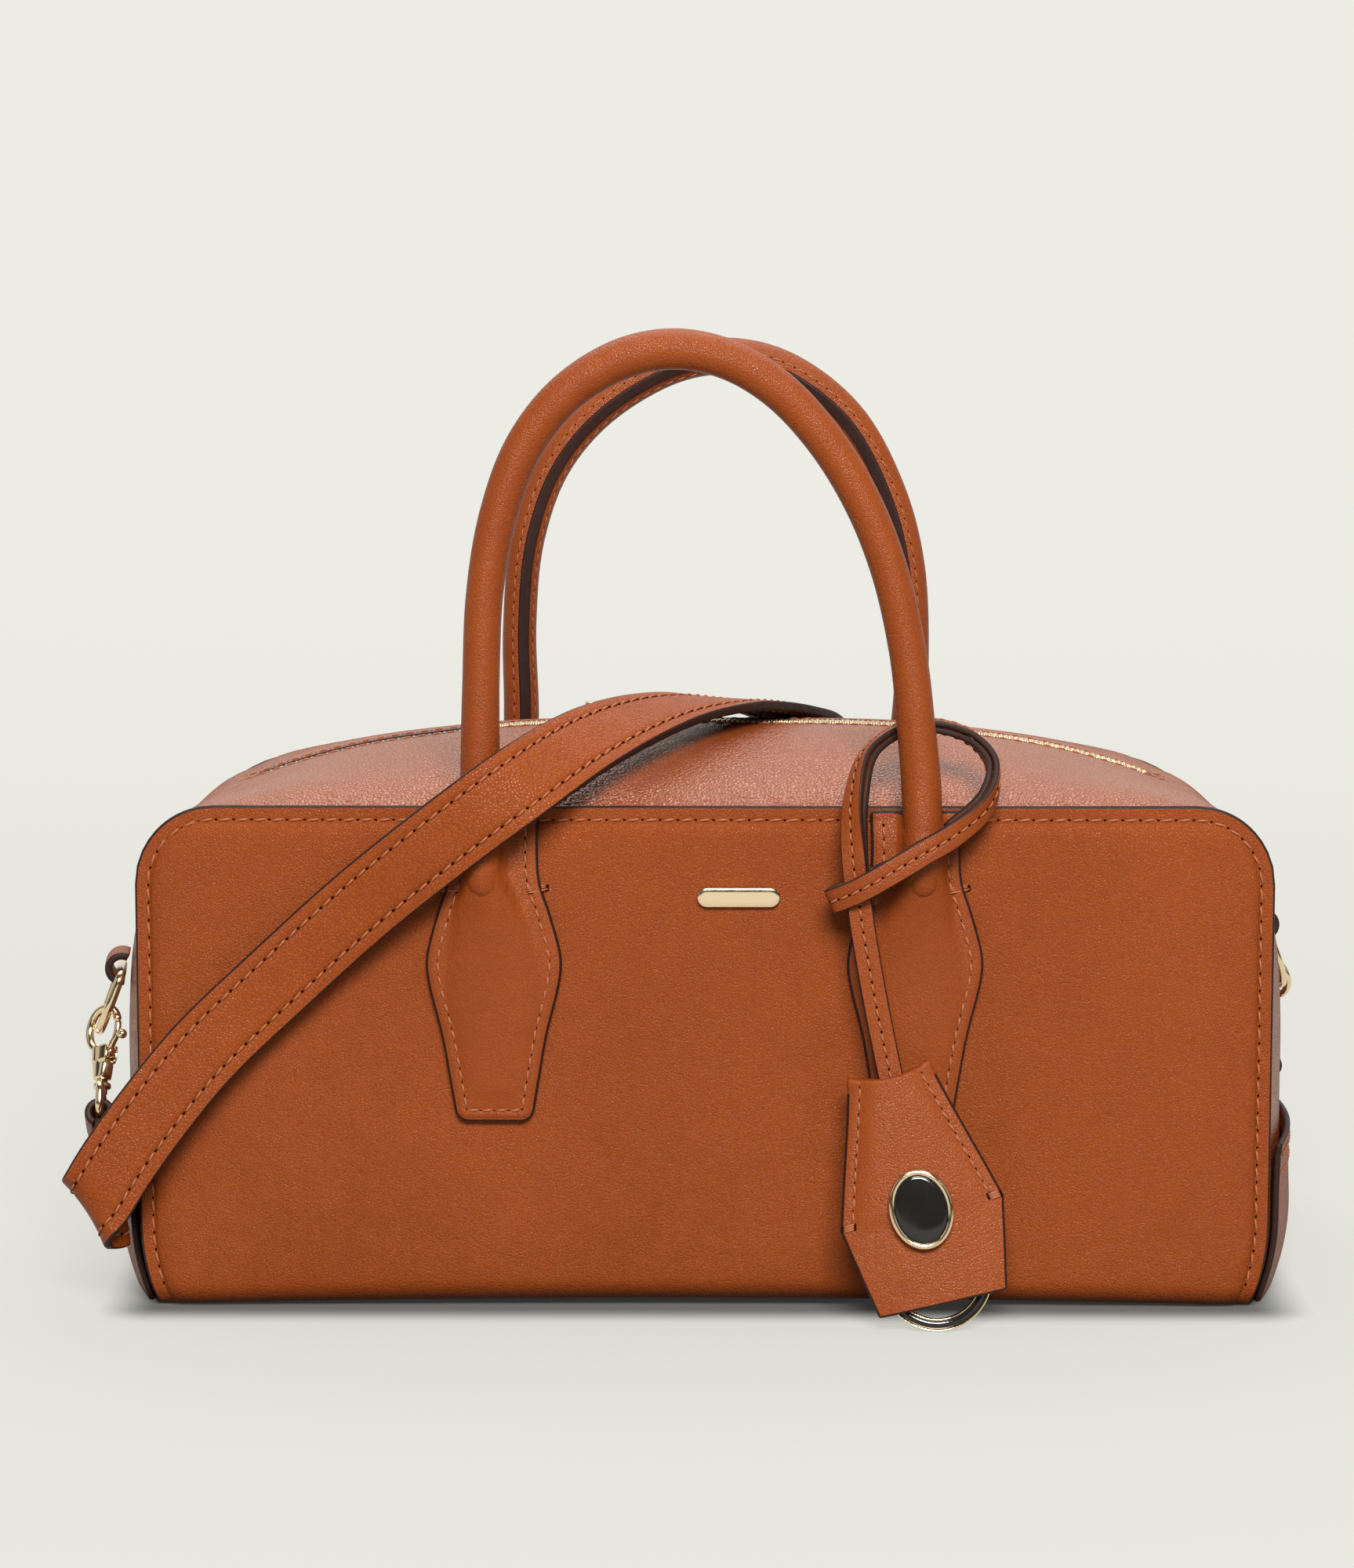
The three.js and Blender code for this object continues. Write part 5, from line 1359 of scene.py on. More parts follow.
def bump(tree, shader, height, strength, distance):
    """Feeds a height to the shader's normal."""
    node = add_node(tree, "ShaderNodeBump", Height=height, Strength=strength, Distance=distance)
    join(tree, node.outputs["Normal"], shader, "Normal")


# Leather finishes: strength of the relief, gloss, and size of the grain against the set size
FINISHES = {
    "panel": (0.4, 0.12, 0.75),
    "soft": (0.5, 0.75, 1.2),
    "smooth": (0.3, 0.17, 0.75),
    "strap": (0.35, 0.13, 1.1),
}
# Painted shade: the colour that the leather is multiplied towards in the grain's creases and, by a random
# tone, on some pebbles
CREASE_SHADE_TINT = (0.62, 0.5, 0.42, 1)
SHEEN_TINT = (1, 0.97, 0.9, 1)

# Stage, in metres: half the floor that the bag covers, the reach of the painted contact shadow round it and
# the top light's place
FOOTPRINT = (0.15, 0.062, 0.0)
CONTACT_SHADOW_REACH = 0.018
TOP_PLACE = (0.0, 0.6, 1.7)
# Lights: name, place, size and the setting that holds the power
LIGHTS = (
    ("top", TOP_PLACE, (2.1, 1.5), "top"),
    ("key", (0.15, -1.85, 1.42), (1.0, 0.7), "key"),
    ("left side", (-1.5, -0.5, 0.8), (0.8, 1.0), "side"),
    ("right side", (1.5, -0.4, 0.8), (0.8, 1.0), "side"),
)
AIM_HEIGHT = 0.12

# Floor and backdrop, in millimetres
FLOOR_FRONT = -12000.0
FLOOR_SIDE = 10000.0
SWEEP_START = 1500.0
SWEEP_RADIUS = 900.0
BACKDROP_TOP = 4500.0


def four(colour):
    """A colour with full alpha."""
    return (*colour, 1.0)


def leather_material(kind, settings, grain, dye):
    """Tan leather: uneven dye, painted shade in the grain's creases with a random darker tone for some
    pebbles, pebble relief and a satin gloss that the grain breaks up and that fades towards grazing angles."""
    relief, gloss, size = FINISHES[kind]
    material, tree, shader = blank_material(f"{kind} leather")
    pebbles = use_group(tree, grain, Size=settings.grain * size)
    colour = use_group(tree, dye, Tan=four(settings.tan), Deep=four(settings.deep))
    # Painted shade: the base colour darkens in the grain's creases, plus a random darker tone for each pebble
    lower = math_node(tree, "MULTIPLY", pebbles.outputs["Crease"], 0.4)
    lower = math_node(tree, "ADD", lower, math_node(tree, "MULTIPLY", pebbles.outputs["Shade"], 0.22))
    shaded = blend_colours(tree, lower, colour.outputs["Color"], CREASE_SHADE_TINT, "MULTIPLY")
    join(tree, shaded, shader, "Base Color")
    rough = remap(tree, colour.outputs["Cloud"], 0.0, 1.0, 0.33, 0.27)
    rough = math_node(tree, "ADD", rough, math_node(tree, "MULTIPLY", pebbles.outputs["Crease"], 0.16))
    join(tree, rough, shader, "Roughness")
    facing = add_node(tree, "ShaderNodeLayerWeight", Blend=0.5).outputs["Facing"]
    join(tree, remap(tree, facing, 0.8, 1.0, gloss, 0.02), shader, "Specular IOR Level")
    shader.inputs["Specular Tint"].default_value = SHEEN_TINT
    bump(tree, shader, pebbles.outputs["Height"], relief, 0.0007)
    return material


def mottled_material(name, colour, shade, rough, metal=0.0, relief=0.05, scale=900.0, gloss=0.5):
    """A finish whose colour, roughness and relief vary with one fine noise."""
    material, tree, shader = blank_material(name)
    place = add_node(tree, "ShaderNodeTexCoord").outputs["Object"]
    noise = add_node(tree, "ShaderNodeTexNoise", Vector=place, Scale=scale, Detail=3.0)
    darker = tuple(c * shade for c in colour)
    join(tree, blend_colours(tree, noise.outputs["Fac"], four(darker), four(colour)), shader, "Base Color")
    join(tree, remap(tree, noise.outputs["Fac"], 0.3, 0.7, rough[0], rough[1]), shader, "Roughness")
    shader.inputs["Metallic"].default_value = metal
    shader.inputs["Specular IOR Level"].default_value = gloss
    bump(tree, shader, noise.outputs["Fac"], relief, 0.0002)
    return material


def tape_material(name, colour):
    """Woven zip tape: two crossed sets of ribs."""
    material, tree, shader = blank_material(name)
    place = add_node(tree, "ShaderNodeTexCoord").outputs["Object"]
    ribs = [add_node(tree, "ShaderNodeTexWave", {"bands_direction": way}, Vector=place, Scale=scale)
            for way, scale in (("X", 420.0), ("Y", 560.0))]
    weave = math_node(tree, "MULTIPLY", ribs[0].outputs["Fac"], ribs[1].outputs["Fac"])
    lighter = tuple(min(c * 2.2, 1) for c in colour)
    join(tree, blend_colours(tree, weave, four(colour), four(lighter)), shader, "Base Color")
    join(tree, remap(tree, weave, 0.0, 1.0, 0.95, 0.75), shader, "Roughness")
    bump(tree, shader, weave, 0.6, 0.0004)
    return material


def paper_material(name, settings):
    """Backdrop paper that takes shadows and glows as much as the top light leaves dark, so that floor and
    background come out equally pale: with distance r and the light's height h, the glow is far less the
    difference of far and near times the square of h2 / (h2 + r2). It fades a little to the sides and to the
    front, and close to and under the bag's footprint, where the fade is a painted contact shadow."""
    material, tree, shader = blank_material(name)
    place = add_node(tree, "ShaderNodeTexCoord").outputs["Object"]
    square = vector_node(tree, "DOT_PRODUCT", place, place).outputs["Value"]
    height = TOP_PLACE[2] ** 2
    share = math_node(tree, "DIVIDE", height, math_node(tree, "ADD", square, height))
    share = math_node(tree, "MULTIPLY", share, share)
    lit = math_node(tree, "MULTIPLY", share, settings.glow_far - settings.glow_near)
    glow = math_node(tree, "SUBTRACT", settings.glow_far, lit)
    folded = vector_node(tree, "ABSOLUTE", place).outputs[0]
    past = vector_node(tree, "SUBTRACT", folded, FOOTPRINT).outputs[0]
    past = vector_node(tree, "MAXIMUM", past).outputs[0]
    away = vector_node(tree, "LENGTH", past).outputs["Value"]
    wide = add_node(tree, "ShaderNodeSeparateXYZ", Vector=folded).outputs["X"]
    front = add_node(tree, "ShaderNodeSeparateXYZ", Vector=place).outputs["Y"]
    # The first fade is a painted contact shadow: the glow drops almost to nothing at and under the bag's
    # footprint
    for fade in (remap(tree, away, 0.0, CONTACT_SHADOW_REACH, 0.05, 1.0), remap(tree, wide, 1.2, 3.0, 1.0, 0.8),
                 remap(tree, front, -2.6, -0.8, 0.8, 1.0)):
        glow = math_node(tree, "MULTIPLY", glow, fade)
    join(tree, glow, shader, "Emission Strength")
    shader.inputs["Emission Color"].default_value = four(settings.floor)
    shader.inputs["Base Color"].default_value = four(tuple(0.12 * c for c in settings.floor))
    shader.inputs["Roughness"].default_value = 0.9
    shader.inputs["Specular IOR Level"].default_value = 0.0
    return material


MATERIALS = {}


def make_materials(scene):
    """All finishes of the bag, by name."""
    leather, metal = scene.bag_leather, scene.bag_metal
    grain, dye = grain_group(), dye_group()
    MATERIALS.update(
        edge=mottled_material("edge paint", leather.edge, 0.6, (0.5, 0.65), relief=0.12, scale=500.0,
                              gloss=0.2),
        thread=mottled_material("sewing thread", leather.thread, 0.62, (0.5, 0.7), relief=0.3, scale=2600.0,
                                gloss=0.35),
        # Painted shade: near-black discs stand for the shadow inside the stitch holes
        hole=mottled_material("needle hole", (0.02, 0.006, 0.003), 0.5, (0.7, 0.9), gloss=0.0),
        gold=mottled_material("pale gold", metal.gold, 0.93, (0.12, 0.2), metal=1.0, relief=0.015,
                              scale=260.0),
        teeth=mottled_material("zip teeth metal", metal.gold, 0.5, (0.3, 0.42), metal=1.0, relief=0.1,
                               scale=700.0),
        enamel=mottled_material("black enamel", metal.enamel, 0.7, (0.06, 0.14), relief=0.01, scale=180.0),
        tape=tape_material("zip tape cloth", metal.tape),
    )
    for kind in FINISHES:
        MATERIALS[kind] = leather_material(kind, leather, grain, dye)


# Pieces


def make_piece(name, mesh, materials, nodes=(), body="bag"):
    """A smooth-shaded mesh object in metres from points, faces and material marks; it rides on a body and may
    stand for CAD nodes."""
    points, faces = mesh[0], mesh[1]
    sizes = np.concatenate([np.full(len(kind), kind.shape[1]) for kind in faces])
    corners = np.concatenate([kind.ravel() for kind in faces])
    data = bpy.data.meshes.new(name)
    data.vertices.add(len(points))
    data.vertices.foreach_set("co", (points * MM).ravel())
    data.loops.add(len(corners))
    data.loops.foreach_set("vertex_index", corners.astype(np.int32))
    data.polygons.add(len(sizes))
    data.polygons.foreach_set("loop_start", np.concatenate([[0], np.cumsum(sizes)[:-1]]).astype(np.int32))
    marks = mesh[2] if len(mesh) > 2 else np.zeros(len(sizes), int)
    data.polygons.foreach_set("material_index", np.asarray(marks, np.int32))
    data.polygons.foreach_set("use_smooth", np.ones(len(sizes), bool))
    data.update(calc_edges=True)
    if data.validate(verbose=False):
        raise RuntimeError(f"{name}: its faces don't make a proper mesh")
    turn_outwards(data)
    for key in materials:
        data.materials.append(MATERIALS[key])
    piece = bpy.data.objects.new(name, data)
    bpy.context.scene.collection.objects.link(piece)
    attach(piece, body)
    if nodes:
        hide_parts(*nodes)
    return piece


def turn_outwards(data):
    """Turns the faces of every closed shell of a mesh outwards."""
    shells = bmesh.new()
    shells.from_mesh(data)
    bmesh.ops.recalc_face_normals(shells, faces=shells.faces)
    shells.to_mesh(data)
    shells.free()


def make_stitches(name, rows):
    """One object of several sewn rows, with thread and painted hole-shade materials."""
    make_piece(name, joined(rows), ("thread", "hole"))


# Operators, one for each piece or group of like pieces

SIDES = ((-1, "left"), (1, "right"))


class BAG_OT_body(bpy.types.Operator):
    """Front, base and back in one sheet, with the stitches along both panels' edges"""

    bl_idname = "bag.body"
    bl_label = "Panels"

    def execute(self, context):
        outer = wrap_surface()
        normals = grid_normals(outer)
        middle = np.array([0, 0, PANEL_HEIGHT / 2])
        normals *= np.sign(np.sum(normals * (outer - middle), axis=-1, keepdims=True))
        make_piece("panels", sheet(outer, outer - LEATHER * normals), ("panel", "edge"), ["body_wrap"])
        sewing = context.scene.bag_sewing
        z = np.linspace(BASE_CORNER, SHOULDER, 60)
        side = np.stack([panel_half_width(z) - PANEL_INSET, z], axis=1)
        corner = arc((TOP_HALF, SHOULDER), TOP_CORNER - PANEL_INSET, 0, np.pi / 2, 24)[1:]
        top = np.stack([np.linspace(TOP_HALF, 0, 60)[1:], np.full(59, PANEL_HEIGHT - PANEL_INSET)], axis=1)
        half = np.vstack([side, corner, top])
        whole = np.vstack([half, half[-2::-1] * [-1, 1]])
        rows = [sewn(*on_panel(*whole.T, way), sewing.panel_pitch, sewing.thread) for way in (-1, 1)]
        make_stitches("panel_stitches", rows)
        return {"FINISHED"}


class BAG_OT_gusset(bpy.types.Operator):
    """Gusset over the top, overlays on both sides, and their stitches"""

    bl_idname = "bag.gusset"
    bl_label = "Gusset and end panels"

    def execute(self, context):
        make_piece("gusset_band", gusset_mesh(), ("soft", "edge"), ["gusset"])
        pitch, thread = context.scene.bag_sewing.strap_pitch, context.scene.bag_sewing.thread
        rows = []
        along = np.linspace(ZIP_START - 4, OUTLINE_LENGTH, 120)
        for way in (-1, 1):
            share = np.full(len(along), way * (SLIT_HALF + SLIT_INSET) / INNER_DEPTH)
            halves = []
            for side in (-1, 1):
                def surface(a, s, side=side):
                    return gusset_surface(side, a, s, gusset_dress(a, s))
                up = unit(np.cross(surface(along + 0.2, share) - surface(along - 0.2, share),
                                   surface(along, share + 0.002) - surface(along, share - 0.002)))
                halves.append((surface(along, share), up * np.sign(up[:, 2:])))
            path = np.vstack([halves[0][0], halves[1][0][-2::-1]])
            rows.append(sewn(path, np.vstack([halves[0][1], halves[1][1][-2::-1]]), pitch, thread * 0.9))
        for side, word in SIDES:
            make_piece(f"end_panel_{word}_skin", end_panel_mesh(side), ("panel", "edge"),
                       [f"end_panel_{word}"])
            share = np.linspace(-0.86, 0.86, 90)
            for drop in END_PANEL_ROWS:
                z = np.full(90, END_PANEL_TOP - drop)
                x = side * (panel_half_width(z) + end_panel_out(z, share, END_PANEL_THICK) - END_PANEL_SINK)
                path = np.stack([x, share * INNER_DEPTH, z], axis=1)
                ahead = tangents_of(path)
                up = np.cross(ahead, [0.0, 0.0, 1.0])
                rows.append(sewn(path, up * np.sign(up[:, :1]) * side, pitch, thread))
        make_stitches("gusset_stitches", rows)
        return {"FINISHED"}


class BAG_OT_zip(bpy.types.Operator):
    """Woven tapes, two rows of meshed teeth, and the slider with its pull"""

    bl_idname = "bag.zip"
    bl_label = "Zip"

    def execute(self, context):
        rows = np.linspace(ZIP_START - 2.5, OUTLINE_LENGTH, 60)
        for way, word in ((-1, "front"), (1, "back")):
            shares = way * np.linspace(0.6, TAPE_REACH, 9) / INNER_DEPTH
            outer = over_top(rows, shares, lambda a, s: np.full(a.shape, -TAPE_DROP))
            inner = over_top(rows, shares, lambda a, s: np.full(a.shape, -TAPE_DROP - TAPE_THICK))
            make_piece(f"zip_tape_{word}_cloth", sheet(outer, inner), ("tape", "tape"), [f"zip_tape_{word}"])
        make_piece("zip_chain", self.teeth(), ("teeth",), ["zip_teeth"])
        make_piece("zip_slider_body", self.slider(), ("gold",), ["zip_slider"])
        return {"FINISHED"}

    @staticmethod
    def ridge(x, y, lift):
        """Points over the middle of the top."""
        along = OUTLINE_LENGTH - np.abs(x)
        points = gusset_surface(1, along, np.full(len(x), y / INNER_DEPTH), lift)
        points[:, 0] *= np.where(x < 0, -1, 1)
        return points

    def teeth(self):
        """One tooth is a superellipse block with round shoulders; copies lie along both sides of the middle,
        half a pitch apart."""
        q = np.array([-1.75, -1.55, -1.2, 0.9, 1.45, 1.7])
        half = np.array([0.3, 0.5, 0.56, 0.56, 0.5, 0.25])
        block = slab(-half, half, q, 2.5)
        parts = []
        for way in (-1, 1):
            x = np.arange(-ZIP_HALF_LENGTH + 2, ZIP_HALF_LENGTH - 2, TOOTH_PITCH) + way * TOOTH_PITCH / 4
            sunk = 0.8 * smooth_step(50, 72, -x)
            places = self.ridge(x, way * 0.95, -1.35 - sunk)
            ahead = tangents_of(places) * way
            up = unit(np.cross(np.cross(ahead, [0.0, 0.0, 1.0]), ahead))
            parts.append(copies(block, places, ahead, up))
        return merged(parts)

    def slider(self):
        """Slider body as a rounded block, a bridge over it, and a flat pull with round ends."""
        place = self.ridge(np.array([SLIDER_PLACE]), 0.0, 0.0)[0]
        q = np.array([-6, -5.7, -5, 5, 5.7, 6])
        half = np.array([2.4, 3.2, 3.7, 4.2, 3.8, 2.9])
        block = slab(-half, half, q, 3.2, middle=1.9)
        block = (block[0][:, [1, 0, 2]], [kind[:, ::-1] for kind in block[1]])
        turn = np.linspace(0.1, np.pi - 0.1, 16)
        arch = np.stack([4.2 * np.cos(turn), np.zeros(16), 3.2 + 2.0 * np.sin(turn)], axis=1)
        bridge = tube(arch, 0.8, (0, 1, 0), 12)
        rows = [(0.4, 0), (0.1, 0.2), (0, 0.5), (0, 1.1), (0.1, 1.4), (0.45, 1.6), (1.1, 1.62)]
        pull = plate(pill(20.0, 5.0), rows)
        pull = placed(pull, move(-11, 0, 3.5))
        return placed(merged([block, bridge, pull]), move(*place))


class BAG_OT_handles(bpy.types.Operator):
    """Both rolled handles with their tabs, painted seams and stitches"""

    bl_idname = "bag.handles"
    bl_label = "Handles"

    def execute(self, context):
        sewing = context.scene.bag_sewing
        rows = []
        for side, route, word in ((-1, FRONT_HANDLE, "front"), (1, BACK_HANDLE, "back")):
            points, radii = handle_path(route, side)
            seam, seam_radii, facing, across = handle_seam(points, radii, side)
            keep = points[:, 2] > ROLL_END
            mesh = tube(*rounded_ends(points[keep], radii[keep]), (0, 1, 0), 32)
            tabs = [tab_mesh(side, centre, route) for centre in (-TAB_CENTRE, TAB_CENTRE)]
            leather = joined([(*mesh, marks_of(mesh, 0))] + tabs)
            make_piece(f"handle_{word}_leather", leather, ("smooth", "edge"), [f"handle_{word}"])
            make_piece(f"handle_{word}_seam", handle_strip(points, radii, side), ("edge",))
            for turn in (-SEAM_STITCH, SEAM_STITCH):
                out = facing * math.cos(turn) + across * math.sin(turn)
                path = seam + out * (seam_radii - 0.06)[:, None]
                rows.append(sewn(path, out, sewing.tab_pitch, sewing.thread * 0.7))
            for centre in (-TAB_CENTRE, TAB_CENTRE):
                rows.extend(self.tab_rows(side, centre, route, sewing))
        make_stitches("handle_stitches", rows)
        return {"FINISHED"}

    @staticmethod
    def tab_rows(side, centre, route, sewing):
        """Stitches down one edge of a tab, across its foot and up the other edge, and a bar-tack on each
        edge."""
        low = TAB_OUTLINE[0][0] + TAB_INSET
        z = np.linspace(TAB_STITCH_TOP, low + 0.3, 90)
        half = tab_half(z) - TAB_INSET
        foot = np.linspace(-half[-1], half[-1], 20)[1:-1]
        x = centre + np.concatenate([-half, foot, half[::-1]])
        z = np.concatenate([z, np.full(18, low), z[::-1]])

        def surface(px, pz):
            return tab_surface(px, pz, side, centre, route)
        up = normals_along(surface, x, z)
        up = up * np.sign(up[:, 1:2]) * side
        rows = [sewn(surface(x, z), up, sewing.tab_pitch, sewing.thread)]
        for way in (-1, 1):
            edge = centre + way * (tab_half(np.array([TACK_HEIGHT]))[0] + np.linspace(-3, 2.2, 12))
            for step in (-0.55, 0, 0.55):
                height = np.full(12, TACK_HEIGHT + step)
                over = surface(np.clip(edge, centre - 12, centre + 12), height)
                drop = face_depth(edge, height) + 0.3
                depth = np.where(np.abs(edge - centre) < tab_half(height) - 0.2, np.abs(over[:, 1]), drop)
                path = np.stack([edge, side * depth, height], axis=1)
                path[:, 1] = np.convolve(np.pad(path[:, 1], 1, mode="edge"), [0.25, 0.5, 0.25], mode="valid")
                out = np.broadcast_to([0.0, side, 0.0], path.shape)
                rows.append(sewn(path, out, 6.0, sewing.thread * 0.85, fill=1.0))
        return rows


class BAG_OT_hardware(bpy.types.Operator):
    """Folded loops, D-rings, spring hooks and the gate that turns"""

    bl_idname = "bag.hardware"
    bl_label = "Side hardware"

    def execute(self, context):
        for side, word in SIDES:
            anchor = anchor_matrix(side)
            make_piece(f"loop_{word}", placed(loop_mesh(), anchor), ("smooth", "edge"), [f"side_loop_{word}"])
            make_piece(f"d_ring_{word}", placed(ring_mesh(), anchor @ RING_MATRIX), ("gold",),
                       [f"ring_{word}"])
            make_piece(f"spring_hook_{word}", placed(hook_mesh(side < 0), hook_matrix(side)), ("gold",),
                       [f"hook_{word}"])
        make_piece("spring_gate", placed(gate_mesh(), hook_matrix(-1)), ("gold",), ["hook_gate"], body="gate")
        return {"FINISHED"}


class BAG_OT_strap(bpy.types.Operator):
    """Shoulder strap from hook to hook, with its folded ends and stitches on both faces"""

    bl_idname = "bag.strap"
    bl_label = "Strap"

    def execute(self, context):
        route, across = strap_rows()
        points, faces, marks, centres, side, normal, thick = band(
            route, across, STRAP_WIDTH, STRAP_THICK, STRAP_INSET, STRAP_GROOVE)
        parts = [(points, faces, marks)] + [strap_fold(way) for way in (-1, 1)]
        make_piece("strap_leather", joined(parts), ("strap", "edge"), ["strap"])
        sewing = context.scene.bag_sewing
        rows = []
        for way in (-1, 1):
            line = centres + side * way * (STRAP_WIDTH / 2 - STRAP_INSET)
            for face in (-1, 1):
                path = line + normal * face * (thick[:, None] / 2 - STRAP_SINK)
                rows.append(sewn(path[4:-4], (normal * face)[4:-4], sewing.strap_pitch, sewing.thread))
        make_stitches("strap_stitches", rows)
        return {"FINISHED"}


class BAG_OT_charm(bpy.types.Operator):
    """Doubled thong round the handle, the two bell leaves, the plaque, the ring disc and their stitches"""

    bl_idname = "bag.charm"
    bl_label = "Charm"

    def execute(self, context):
        sewing = context.scene.bag_sewing
        rows = self.thong(sewing)
        for side, word in ((1, "front"), (-1, "back")):
            make_piece(f"bell_{word}", bell_mesh(side), ("smooth", "edge"), [f"charm_{word}"])
            down = np.linspace(*BELL_SEWN, 60)
            for way in (-1, 1):
                share = way * (1 - BELL_INSET / bell_half(down))
                path = bell_surface(down, share, side, BELL_LEATHER)
                out = np.broadcast_to(CHARM_FRONT * side, path.shape)
                rows.append(sewn(path, out, sewing.tab_pitch, sewing.thread))
                rows.extend(self.tack(side, way, sewing))
        make_stitches("charm_stitches", rows)
        self.metal()
        return {"FINISHED"}

    @staticmethod
    def thong(sewing):
        """Two layers, of which one goes on alone as the tongue, with one row of stitches in the middle."""
        table = np.asarray(THONG_ROUTE, float)
        route, across, thick = table[:, :3], table[:, 3:6], table[:, 6]
        single = np.arange(len(table)) >= THONG_SINGLE_FROM
        layer = np.where(single, thick, thick / 2 - 0.12)
        shift = np.where(single, 0.0, -thick / 4)
        outer = band(route, across, THONG_WIDTH, layer, THONG_WIDTH / 2, THONG_GROOVE, shift)
        route, across, layer, shift = (part[:THONG_SINGLE_FROM] for part in (route, across, layer, shift))
        inner = band(route, across, THONG_WIDTH, layer, THONG_WIDTH / 2, THONG_GROOVE, -shift)
        make_piece("thong", joined([outer[:3], inner[:3]]), ("smooth", "edge"), ["charm_thong"])
        rows = []
        for layer_band, face in ((outer, -1), (inner, 1)):
            _, _, _, centres, _, normal, deep = layer_band
            path = centres + normal * face * (deep[:, None] / 2 - 0.05)
            rows.append(sewn(path, normal * face, sewing.tab_pitch * 0.9, sewing.thread * 0.9))
        return rows

    @staticmethod
    def tack(side, way, sewing):
        """A bar-tack over the edge where the sewn part of a leaf ends."""
        rows = []
        for step in (-0.6, 0, 0.6):
            down = np.full(10, BELL_TACK + step)
            share = way * (1 - np.linspace(BELL_INSET + 0.6, -0.1, 10) / bell_half(down))
            path = bell_surface(down, share, side, BELL_LEATHER)
            out = np.broadcast_to(CHARM_FRONT * side, path.shape)
            rows.append(sewn(path, out, 4.2, sewing.thread, fill=1.0))
        return rows

    @staticmethod
    def metal():
        """Plaque with a round gold rim and a domed enamel field; ring disc with two gold rims and an enamel
        band."""
        down, half_width, half_height, thick = EMBLEM
        outline = oval(half_width, half_height)
        front = sum(smooth_table(BELL_OUTLINE, np.array([down]), column)[0] for column in (2, 3))
        seat = CHARM_MATRIX @ move(0, -down, front + BELL_LEATHER + GAP)
        rim_rows = [(0.5, 0), (0.1, 0.25), (0, 0.7), (0.08, 1.3), (0.4, 1.7), (0.85, thick), (1.3, 1.65),
                    (1.6, 1.25), (1.75, 0.9)]
        make_piece("plaque_rim", placed(plate(outline, rim_rows), seat), ("gold",), ["charm_emblem"])
        field = [(1.55, 0.85), (1.7, 1.15), (2.6, 1.3), (4.2, 1.42), (5.2, 1.48), (6, 1.5)]
        make_piece("plaque_enamel", placed(plate(outline, field), seat), ("enamel",))
        down, outer, width, thick = CHARM_RING
        seat = CHARM_MATRIX @ move(0, -down, 0)
        inner, half = outer - width, thick / 2
        rims = []
        for low, high in ((inner, inner + 0.75), (outer - 0.75, outer)):
            middle, radius = (low + high) / 2, (high - low) / 2
            turn = 2 * np.pi * np.arange(16) / 16
            section = np.stack([middle + radius * np.cos(turn), half * np.sin(turn)], axis=1)
            rims.append(skin(turned(section, 72), closed=True))
        make_piece("ring_disc_rims", placed(merged(rims), seat), ("gold",), ["charm_ring"])
        section = np.array([[inner + 0.4, -0.7], [outer - 0.4, -0.7], [outer - 0.4, 0.7], [inner + 0.4, 0.7]])
        enamel = skin(turned(section, 72), closed=True)
        make_piece("ring_disc_enamel", placed(enamel, seat), ("enamel",))


class BAG_OT_front_bar(bpy.types.Operator):
    """Plain gold bar on the front panel"""

    bl_idname = "bag.front_bar"
    bl_label = "Front bar"

    def execute(self, context):
        x, z, length, height, thick = FRONT_BAR
        rows = [(0.3, 0), (0.05, 0.15), (0, 0.4), (0, thick - 0.5), (0.15, thick - 0.15), (0.5, thick),
                (1.4, thick)]
        upright = np.eye(4)
        upright[:3, :3] = [[1, 0, 0], [0, 0, -1], [0, 1, 0]]
        seat = move(x, -face_depth(np.array([x]), np.array([z]))[0] - 0.05, z) @ upright
        make_piece("front_bar_metal", placed(plate(pill(length, height), rows), seat), ("gold",),
                   ["front_bar"])
        return {"FINISHED"}


